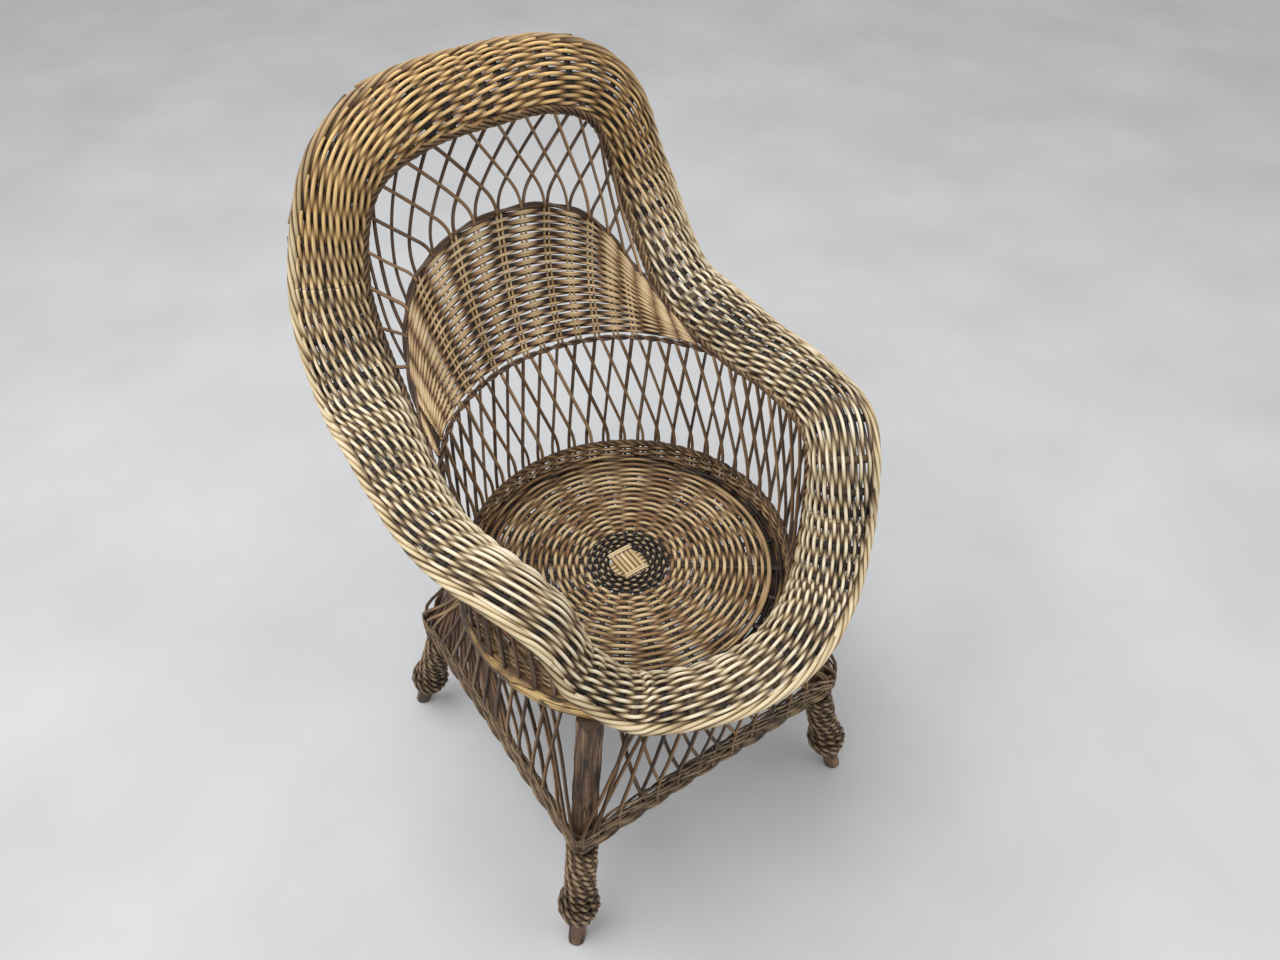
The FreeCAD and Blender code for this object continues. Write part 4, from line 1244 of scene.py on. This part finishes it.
def centreSticks():
    half = seat["crossLength"] / 2
    count = seat["stickPoints"]
    upperHeight = hoopTop + seat["stickRadius"] * seat["upperLevel"]
    lowerHeight = hoopTop + seat["stickRadius"]
    run = np.linspace(-half, half, count)
    size = seat["stickRadius"] * tapered(count, seat["stickEnd"], seat["stickEndShare"])
    for name, node, height, order in (("seatCrossUpper", "seat_cross_upper", upperHeight, (0, 1)),
                                      ("seatCrossLower", "seat_cross_lower", lowerHeight, (1, 0))):
        sticks = Strands()
        for index in range(seat["sticks"]):
            track = np.empty((count, 3))
            track[:, order[0]] = (index - (seat["sticks"] - 1) / 2) * seat["stickPitch"]
            track[:, order[1]] = run
            track[:, 2] = height + seat["stickSpread"] * rng.normal(0, 1)
            # painted highlight on the stick's top, painted shade on its sides
            sticks.add(track, facingUp(count), size, size, raised=seat["stickShadeAndWear"])
        sticks.build(name, finishes["willowStick"], "stick_willow", [node])
    ties = Strands()
    count = seat["tiePoints"]
    width = seat["sticks"] * seat["stickPitch"] / 2 + seat["tieReach"]
    run = np.linspace(-width, width, count)
    height = upperHeight + seat["tieLift"] - seat["tieDrop"] * (np.abs(run) / width) ** seat["tiePower"]
    for side in (-1, 1):
        for step in (0.0, seat["tieStep"]):
            track = np.stack([run, np.full(count, side * (half - seat["tieInset"] - step)), height], -1)
            # painted highlight on the tie's top, painted shade on its sides
            ties.add(track, facingUp(count), seat["tieHalfWidth"], seat["tieHalfDepth"],
                     raised=seat["tieShadeAndWear"])
    ties.build("seatTies", finishes["willowStick"], "stick_willow", ["seat_ties"])


seatWeave()
centreWeave()
centreSticks()
print("seat done")


# The hoop under the seat and the four posts

timber = {
    "grainDetail": (8.0, 0.7, 0.6),
    "crackDetail": 2.0,
    "crackShade": 0.9,
    "crackEdge": 0.004,
    "stops": (0.4, 0.49, 0.6),
    "edgeRange": (0.1, 0.6),
    "barkPatches": (20.0, 4.0),
    "barkRange": (0.48, 0.6),
    "barkShare": 0.8,
    "glossRange": (0.3, 0.7),
    "bumpDepth": 0.002,
}
hoopLook = timber | {
    "deep": (46, 30, 18),
    "body": (156, 118, 68),
    "pale": (226, 190, 128),
    "bark": (92, 68, 44),
    "grainLength": 8.0,
    "grainAround": 7.0,
    "crackLength": 9.0,
    "crackAround": 6.0,
    "crackWidth": 0.034,
    "bump": 1.0,
    "roughness": (0.5 - 0.1, 0.5 + 0.12),
    "edgeShade": 0.35,
}
postLook = timber | {
    "deep": (50, 36, 28),
    "bark": (50, 36, 28),
    "body": (104, 78, 58),
    "pale": (144, 114, 88),
    "grainLength": 7.0,
    "grainAround": 10.0,
    "crackLength": 4.0,
    "crackAround": 5.0,
    "crackWidth": 0.014,
    "bump": 0.7,
    "roughness": (0.6 - 0.1, 0.6 + 0.12),
    "edgeShade": 0.7,
}


def timberFinish(name, look):
    # shaved wood with bark left in patches, long dark cracks, and darker edges
    finish = Finish(name)
    streaks = finish.grain(look["grainLength"], look["grainAround"], *look["grainDetail"])
    cracks = finish.grain(look["crackLength"], look["crackAround"], look["crackDetail"])
    fromCrack = finish.add(finish.add(cracks, 0.5, "SUBTRACT"), 0.0, "ABSOLUTE")
    split = finish.range(fromCrack, look["crackEdge"], look["crackWidth"], look["crackShade"], 0.0)
    deep = paint(*look["deep"])
    colour = finish.ramp(streaks, zip(look["stops"], (look["deep"], look["body"], look["pale"])))
    edges = finish.range(finish.attribute("shadeAndWear"), *look["edgeRange"], look["edgeShade"], 0.0)
    bark = finish.range(finish.patches(*look["barkPatches"]), *look["barkRange"], 0.0, look["barkShare"])
    colour = finish.mix(bark, finish.mix(edges, colour, deep), paint(*look["bark"]))
    finish.link(finish.mix(split, colour, deep), "Base Color")
    low, high = look["roughness"]
    finish.link(finish.range(streaks, *look["glossRange"], low, high), "Roughness")
    finish.bump(finish.add(streaks, split, "SUBTRACT"), look["bump"], look["bumpDepth"])
    return finish.material


hoopFinish = timberFinish("hoopWood", hoopLook)
postFinish = timberFinish("postWood", postLook)


hoop = {
    "waveTimes": (5, 11, 23),
    "waveDepth": 0.05,
    "knotAngles": (-107.0, 40.0, 150.0),
    "knotSpread": 1.6,
    "knotDepth": 0.08,
    "points": 361,
    "sides": 24,
    "shadeAndWear": 0.7,
}


def seatHoop():
    bent = Strands()
    angles = np.linspace(0.0, fullTurn, hoop["points"])
    track = polar(chair["hoopRadius"], angles, chair["hoopHeight"])
    times = hoop["waveTimes"]
    waves = sum(np.sin(np.radians(angles * number) + rng.uniform(0, 6)) for number in times) / len(times)
    knots = sum(np.exp(-(signedAngle(angles - place) / hoop["knotSpread"]) ** 2)
                for place in hoop["knotAngles"])
    size = chair["hoopTubeRadius"] * (1 + hoop["waveDepth"] * waves + hoop["knotDepth"] * knots)
    # painted highlight on the hoop's outer face, painted shade on its inner face and sides
    bent.add(track, unit(track * np.array([1, 1, 0])), size, size, 0.5, hoop["shadeAndWear"], sides=hoop["sides"])
    bent.build("seatHoop", hoopFinish, "hoop_wood", ["seat_hoop"])


legs = {
    "footRadius": 11.5,
    "footHalfWidth": 229.0,
    "footFront": -210.0,
    "footRear": 248.0,
    "topHalfWidth": 154.3,
    "topFront": -149.0,
    "topRear": 149.0,
    "topHeight": 385.5,
    "sides": 32,
    "footBevel": 1.2,
    "roundFrom": 4.0,
    "roundGap": 6.0,
    "roundPoints": 30,
    "squarePoints": 26,
    "squareEarly": 8.0,
    "waveLength": 9.0,
    "waveTwist": 3.0,
    "waveDepth": 0.02,
    "roughness": 0.012,
    "faceWidth": 1.6,
    "roundShadeAndWear": 0.6,
    "squareHalf": 13.0,
    "squareStart": 199.0,
    "squareBlend": 10.0,
    "squarePower": 5,
    "topGap": 3.0,
    "wrapStart": 186.0,
    "wrapPitch": 11.3,
    "wrapTurns": 12,
    "wrapBulge": 7.5,
    "wrapBulgeHeight": 74.0,
    "wrapBulgeSpread": 17.0,
    "wrapEnd": 0.2,
    "wrapPoints": 900,
    "wrapShadeAndWear": (0.1, 0.8),
    "wobble": 0.4,
    "wobbleMarks": 40,
    "toneMarks": 14,
    "strandSides": 6,
    "padPoints": 40,
    "padTone": 0.2,
    "padShade": 0.05,
    "padSides": 16,
    "wrapGap": 0.3,
    "padEnd": 46.0,
    "padGap": 1.2,
    "ropeHalf": 4.75,
    "strandRadius": 2.6,
    "strandHelix": 2.3,
    "strandPitch": 24.0,
}
corners = {
    "front_left": (-1, True),
    "front_right": (1, True),
    "rear_left": (-1, False),
    "rear_right": (1, False),
}


def legAt(side, front, height):
    share = np.asarray(height, float) / legs["topHeight"]
    footY, topY = (legs["footFront"], legs["topFront"]) if front else (legs["footRear"], legs["topRear"])
    x = side * (legs["footHalfWidth"] + (legs["topHalfWidth"] - legs["footHalfWidth"]) * share)
    return np.stack([x, footY + (topY - footY) * share, share * legs["topHeight"]], -1)


def post(label, side, front):
    start = legs["squareStart"]
    roundPart = np.linspace(legs["roundFrom"], start - legs["roundGap"], legs["roundPoints"])
    squarePart = np.linspace(start, legs["topHeight"] - legs["topGap"], legs["squarePoints"])
    heights = np.concatenate([[0.0, legs["footBevel"]], roundPart, squarePart])
    sides = legs["sides"]
    turns = 2 * math.pi * (np.arange(sides) + 0.5) / sides
    track = legAt(side, front, heights)
    posts = Strands()
    posts.add(track, np.tile(np.array([0.0, -1.0, 0.0]), (len(heights), 1)), 1.0, 1.0, 0.5, sides=sides)
    # the section goes from round to a square with soft corners
    square = np.clip((heights - start + legs["squareEarly"]) / legs["squareBlend"], 0.0, 1.0)
    power = (2 + legs["squarePower"] * square)[:, None]
    reach = legs["footRadius"] + (legs["squareHalf"] - legs["footRadius"]) * square
    reach[0] -= legs["footBevel"]
    shape = (np.abs(np.cos(turns))[None] ** power + np.abs(np.sin(turns))[None] ** power) ** (-1 / power)
    phase = legs["waveTwist"] * np.sin(turns)[None] + rng.uniform(0, 6)
    waves = np.sin(heights[:, None] / legs["waveLength"] + phase)
    rough = 1 + legs["waveDepth"] * waves + legs["roughness"] * rng.normal(0, 1, (len(heights), sides))
    span = reach[:, None] * shape * rough
    ring = np.stack([span * np.cos(turns), span * np.sin(turns), 0 * span], -1)
    posts.points[0] = (track[:, None] + ring).reshape(-1, 3)
    # the squared part is paler at the middle of its faces than at its edges
    flat = np.clip(legs["faceWidth"] * np.abs(np.cos(2 * turns)), 0.0, 1.0)[None]
    posts.shadesAndWears[0] = (legs["roundShadeAndWear"] + square[:, None] * (flat - legs["roundShadeAndWear"])).ravel()
    posts.build("post_" + label, postFinish, "post_wood", ["leg_" + label])


def swellAt(height):
    return np.exp(-((height - legs["wrapBulgeHeight"]) / legs["wrapBulgeSpread"]) ** 2)


def wrap(label, side, front):
    foot = legAt(side, front, 0.0)
    axis = unit(legAt(side, front, legs["topHeight"]) - foot)
    across = unit(np.cross(np.array([0.0, 1.0, 0.0]), axis))
    ahead = np.cross(axis, across)
    base = legs["footRadius"] + legs["wrapGap"] + legs["ropeHalf"]

    def place(turns):
        height = legs["wrapStart"] - turns * legs["wrapPitch"]
        radius = (base + legs["wrapBulge"] * swellAt(height))[:, None]
        angle = 2 * math.pi * turns
        out = across * np.cos(angle)[:, None] + ahead * np.sin(angle)[:, None]
        return foot + axis * height[:, None] + out * radius, out

    winding = Strands()
    turns = np.linspace(-legs["wrapEnd"], legs["wrapTurns"] + legs["wrapEnd"], legs["wrapPoints"])
    track, out = place(turns)
    lengths = trackLengths(track)
    along = unit(np.gradient(track, axis=0))
    other = np.cross(along, out)
    count = legs["wobbleMarks"]
    wobble = legs["wobble"] * np.interp(lengths, np.linspace(0, lengths[-1], count), rng.normal(0, 1, count))
    count = legs["toneMarks"]
    for strand in range(2):
        angle = 2 * math.pi * lengths / legs["strandPitch"] + math.pi * strand + wobble
        normal = out * np.cos(angle)[:, None] + other * np.sin(angle)[:, None]
        tone = np.interp(lengths, np.linspace(0, lengths[-1], count), rng.random(count))
        facing = np.abs(np.cos(angle)) ** facingBend
        # painted highlight where a strand faces out, painted shade where it turns in
        winding.add(track + normal * legs["strandHelix"], normal, legs["strandRadius"], legs["strandRadius"],
                    tone, shadeAndWearFrom(legs["wrapShadeAndWear"], facing), sides=legs["strandSides"])
    pad = Strands()
    heights = np.linspace(legs["wrapStart"], legs["padEnd"], legs["padPoints"])
    size = legs["footRadius"] + legs["wrapBulge"] * swellAt(heights) + legs["padGap"]
    # the pad under the wrap is painted in shade
    pad.add(foot + axis * heights[:, None], np.tile(across, (len(heights), 1)), size, size,
            legs["padTone"], legs["padShade"], sides=legs["padSides"])
    pad.build("wrapPad_" + label, finishes["willowDark"], "wrap_willow", ["leg_pad_" + label])
    winding.build("wrap_" + label, finishes["willowWrap"], "wrap_willow", ["leg_wrap_" + label])


seatHoop()
for label, (side, front) in corners.items():
    post(label, side, front)
    wrap(label, side, front)
print("hoop and legs done")


# The skirt: woven rails round the legs and crossing rods up to the hoop

skirt = {
    "low": 198.0,
    "depth": 52.0,
    "rows": 8,
    "reach": 19.3,
    "bend": 14.5,
    "bendPoints": 9,
    "strandRadius": 1.85,
    "strandSides": 6,
    "spacing": 3.4,
    "slopeStep": 4.0,
    "sizeStep": 70.0,
    "sizes": (0.85, 1.15),
    "toneStep": 60.0,
    "shadeAndWear": (0.1, 0.7),
    "helix": 2.5,
    "pitch": 78.0,
    "unevenness": 1.5,
    "dipTop": 21.0,
    "dipBottom": 3.0,
    "dipSpread": 60.0,
    "dipPower": 1.4,
    "marks": 30,
    "steadyFrom": 20.0,
    "steadyLeast": 0.2,
    "endGap": 28.0,
    "headDrop": 9.0,
    "footDrop": 140.0,
    "footShare": 0.3,
    "footLean": 0.1,
    "footSpread": 0.003,
    "rodPoints": 16,
    "rodSizes": (0.9, 1.15),
    "rodShadesAndWears": (0.35, 0.8),
    "rodPitch": 30.0,
    "rodRadius": 2.35,
    "offset": 3.0,
    "offsetGrowth": 4.0,
    "offsetLeast": 0.25,
    "leanRight": 0.06,
    "leanLeft": 0.14,
    "fanFeet": (0.03, 0.065),
    "fanLean": 0.14,
    "fanTone": 0.3,
    "bundleSide": "left",
    "bundleFrom": 0.08,
    "bundleClear": 0.055,
    "bundleTo": 0.64,
    "bundlePitch": 13.0,
    "bundleRadius": 2.8,
    "bundleSpread": 0.004,
    "bundleTone": 0.95,
    "plainTone": 0.55,
    "topAngle": 45.0,
    "legClearAngle": 41.0,
}
skirtSides = {
    "front": ((-1, True), (1, True), (0, -1)),
    "right": ((1, True), (1, False), (1, 0)),
    "rear": ((1, False), (-1, False), (0, 1)),
    "left": ((-1, False), (-1, True), (-1, 0)),
}


def skirtCorner(side, front):
    middle = legAt(side, front, skirt["low"])
    return middle + np.array([side * skirt["reach"], (-1 if front else 1) * skirt["reach"], 0.0])


def skirtTrack():
    order = [(-1, True), (1, True), (1, False), (-1, False)]
    points = [skirtCorner(side, front) for side, front in order]
    track = []
    for index in range(4):
        here = points[index]
        before = unit(points[index - 1] - here)
        after = unit(points[(index + 1) % 4] - here)
        centre = here + (before + after) * skirt["bend"]
        for turn in np.linspace(0.0, math.pi / 2, skirt["bendPoints"]):
            track.append(centre - after * skirt["bend"] * math.cos(turn)
                         - before * skirt["bend"] * math.sin(turn))
    track.append(track[0])
    return np.array(track)


def skirtWeave():
    track = skirtTrack()
    lengths = trackLengths(track)
    total = lengths[-1]
    perBend = skirt["bendPoints"]
    corner = np.array([lengths[index * perBend + perBend // 2] for index in range(4)])
    names = ("front", "right", "rear", "left")
    cornerOf = {"front": "front_left", "right": "front_right", "rear": "rear_right", "left": "rear_left"}
    bands = {name: Strands() for name in names}
    step = skirt["depth"] / skirt["rows"]
    marks = np.linspace(0.0, total, skirt["marks"])
    for row in range(skirt["rows"]):
        height = skirt["low"] + step * (row + 0.5)
        dip = skirt["dipBottom"] + (skirt["dipTop"] - skirt["dipBottom"]) * row / (skirt["rows"] - 1)
        sag = skirt["unevenness"] * rng.normal(0, 1, len(marks))
        sag[-1] = sag[0]

        def place(run):
            run = np.mod(run, total)
            away = np.abs(run[:, None] - corner[None, :])
            away = np.minimum(away, total - away).min(1)
            fall = dip * np.clip(1 - away / skirt["dipSpread"], 0.0, 1.0) ** skirt["dipPower"]
            steady = np.clip(away / skirt["steadyFrom"], skirt["steadyLeast"], 1.0)
            uneven = np.interp(run, marks, sag) * steady
            return np.stack([np.interp(run, lengths, track[:, 0]), np.interp(run, lengths, track[:, 1]),
                             height + uneven - fall], -1)

        def outward(run):
            ahead = place(run + skirt["slopeStep"])
            return np.cross(unit(ahead - place(run - skirt["slopeStep"])), upward)

        phase = rng.uniform(0, 6)
        for index, name in enumerate(names):
            start = corner[index]
            end = corner[(index + 1) % 4] + (total if index == 3 else 0)
            lines = twist(place, start, end, skirt["spacing"], 2, skirt["helix"], skirt["pitch"], outward,
                          phase=phase, wobble=0.0)
            for line, normal, facing, run in lines:
                radius = skirt["strandRadius"] * changing(run, skirt["sizeStep"], *skirt["sizes"])
                # painted highlight where a strand faces out, painted shade where it turns in
                bands[name].add(line, normal, radius, radius, changing(run, skirt["toneStep"]),
                                shadeAndWearFrom(skirt["shadeAndWear"], facing), sides=skirt["strandSides"])
    for name in names:
        bands[name].build("skirtWeave_" + name, finishes["willowSkirt"], "skirt_willow",
                          ["skirt_rail_" + name, "skirt_corner_" + cornerOf[name]])


def skirtRods(name):
    first, last, out = skirtSides[name]
    out = np.array([out[0], out[1], 0.0])
    start = skirtCorner(*first)
    end = skirtCorner(*last)
    ahead = unit(end - start)
    length = np.linalg.norm(end - start)
    middleAngle = math.degrees(math.atan2(out[0], out[1]))
    direction = 1 if np.dot(polar(1.0, middleAngle + 1, 0.0), ahead) > 0 else -1
    rods = Strands()

    def addRod(share, lean, layer, radius, tone):
        # a rod whose head would meet a leg is left out
        if abs((2 * (share + lean) - 1) * skirt["topAngle"]) > skirt["legClearAngle"]:
            return
        up = np.linspace(-skirt["footShare"], 1.0, skirt["rodPoints"])
        shares = share + lean * np.clip(up, -skirt["footLean"], 1.0)
        offset = layer * skirt["offset"] * np.clip(up * skirt["offsetGrowth"], skirt["offsetLeast"], 1.0)
        foot = start + ahead * (shares * length)[:, None] + out * offset[:, None]
        foot[:, 2] = skirt["low"] + skirt["depth"]
        angle = (2 * shares - 1) * skirt["topAngle"]
        head = polar(chair["hoopRadius"] + offset, middleAngle + direction * angle,
                     chair["hoopHeight"] - skirt["headDrop"])
        track = foot * (1 - up)[:, None] + head * up[:, None]
        below = up < 0
        foot[:, 2] += up * skirt["footDrop"]
        track[below] = foot[below]
        # painted highlight on the rod's outer face, painted shade on its sides and back
        rods.add(track, np.tile(out, (len(up), 1)), radius, radius, tone, rng.uniform(*skirt["rodShadesAndWears"]))

    count = int((length - 2 * skirt["endGap"]) / skirt["rodPitch"])
    for layer, lean in ((1, skirt["leanRight"]), (-1, -skirt["leanLeft"])):
        for index in range(count + 1):
            share = 0.5 + (index - count / 2) * skirt["rodPitch"] / length
            share = share + rng.normal(0, skirt["footSpread"])
            addRod(share, lean, layer, skirt["rodRadius"] * rng.uniform(*skirt["rodSizes"]),
                   rng.random() * skirt["plainTone"])
    for foot in skirt["fanFeet"]:
        addRod(foot, skirt["fanLean"], 1, skirt["rodRadius"], skirt["fanTone"])
        addRod(1 - foot, -skirt["fanLean"], 1, skirt["rodRadius"], skirt["fanTone"])
    if name == skirt["bundleSide"]:
        for share in np.arange(skirt["bundleFrom"], skirt["bundleTo"], skirt["bundlePitch"] / length):
            lean = min(skirt["leanLeft"], share - skirt["bundleClear"])
            addRod(share + rng.normal(0, skirt["bundleSpread"]), -lean, -1, skirt["bundleRadius"],
                   skirt["bundleTone"])
    rods.build("skirtRods_" + name, finishes["willowSkirtRod"], "rod_willow", ["skirt_rods_" + name])


skirtWeave()
for name in skirtSides:
    skirtRods(name)
print("skirt done")

nailFinish = Finish("nailWire")
rust = nailFinish.ramp(nailFinish.patches(400.0), ((0.3, (70, 62, 56)), (0.7, (128, 122, 116))))
nailFinish.link(rust, "Base Color")
nailFinish.shader.inputs["Metallic"].default_value = 1.0
nailFinish.shader.inputs["Roughness"].default_value = 0.5
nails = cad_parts["leg_nails"]
for place in range(len(nails.material_slots)):
    nails.material_slots[place].material = nailFinish.material


# The floor, the light and the camera

studio = {
    "floorStops": ((0.3, (203 - 8, 204 - 8, 206 - 8)), (0.7, (203 + 4, 204 + 4, 206 + 4))),
    "floorSize": 12.0,
    "keySize": 2.6,
    "keyPower": 62.0,
    "keyPlace": (-0.9, 0.3, 2.9),
    "fillPower": 18.0,
    "fillPlace": (1.6, -2.2, 1.8),
    "lampAim": (0.0, 0.0, 0.45),
    "skyStrength": 0.62,
}
camera = {
    "place": (-468.6, -691.6, 1369.4),
    "azimuth": -35.1,
    "elevation": 44.2,
    "roll": 0.3,
    "focalPixels": 1001.5,
    "imageWidth": 1280,
    "sensorWidth": 36.0,
}


def makeFloor():
    mesh = bpy.data.meshes.new("floor")
    half = studio["floorSize"] / 2
    outline = [(-half, -half, 0), (half, -half, 0), (half, half, 0), (-half, half, 0)]
    mesh.from_pydata(outline, [], [(0, 1, 2, 3)])
    floor = bpy.data.objects.new("floor", mesh)
    bpy.context.scene.collection.objects.link(floor)
    finish = Finish("paleFloor")
    finish.link(finish.ramp(finish.patches(3.0, 6.0), studio["floorStops"]), "Base Color")
    finish.shader.inputs["Roughness"].default_value = 0.9
    mesh.materials.append(finish.material)


def makeLamp(name, place, size, power):
    lamp = bpy.data.lights.new(name, "AREA")
    lamp.shape = "DISK"
    lamp.size = size
    lamp.energy = power
    body = bpy.data.objects.new(name, lamp)
    bpy.context.scene.collection.objects.link(body)
    body.location = place
    back = unit(np.array(place) - np.array(studio["lampAim"]))
    right = unit(np.cross(upward, back))
    up = np.cross(back, right)
    body.rotation_euler = Matrix((right, up, back)).transposed().to_euler()


def makeCamera():
    azimuth, elevation, rollAngle = (math.radians(camera[name]) for name in ("azimuth", "elevation", "roll"))
    back = np.array([math.sin(azimuth) * math.cos(elevation), -math.cos(azimuth) * math.cos(elevation),
                     math.sin(elevation)])
    right = np.array([math.cos(azimuth), math.sin(azimuth), 0.0])
    up = np.cross(back, right)
    right, up = (right * math.cos(rollAngle) + up * math.sin(rollAngle),
                 up * math.cos(rollAngle) - right * math.sin(rollAngle))
    lens = bpy.data.cameras.new("photoCamera")
    lens.sensor_width = camera["sensorWidth"]
    lens.lens = camera["focalPixels"] / camera["imageWidth"] * camera["sensorWidth"]
    body = bpy.data.objects.new("photoCamera", lens)
    bpy.context.scene.collection.objects.link(body)
    x, y, z = camera["place"]
    body.location = (x * mm, (y + seatShift) * mm, z * mm)
    body.rotation_euler = Matrix((right, up, back)).transposed().to_euler()
    bpy.context.scene.camera = body


makeFloor()
makeLamp("keyLamp", studio["keyPlace"], studio["keySize"], studio["keyPower"])
makeLamp("fillLamp", studio["fillPlace"], studio["keySize"], studio["fillPower"])
world = bpy.data.worlds.new("studio")
world.use_nodes = True
sky = world.node_tree.nodes["Background"]
sky.inputs["Color"].default_value = (1.0, 1.0, 1.0, 1.0)
sky.inputs["Strength"].default_value = studio["skyStrength"]
bpy.context.scene.world = world
bpy.context.scene.view_settings.view_transform = "Standard"
makeCamera()
print("floor, light and camera done")
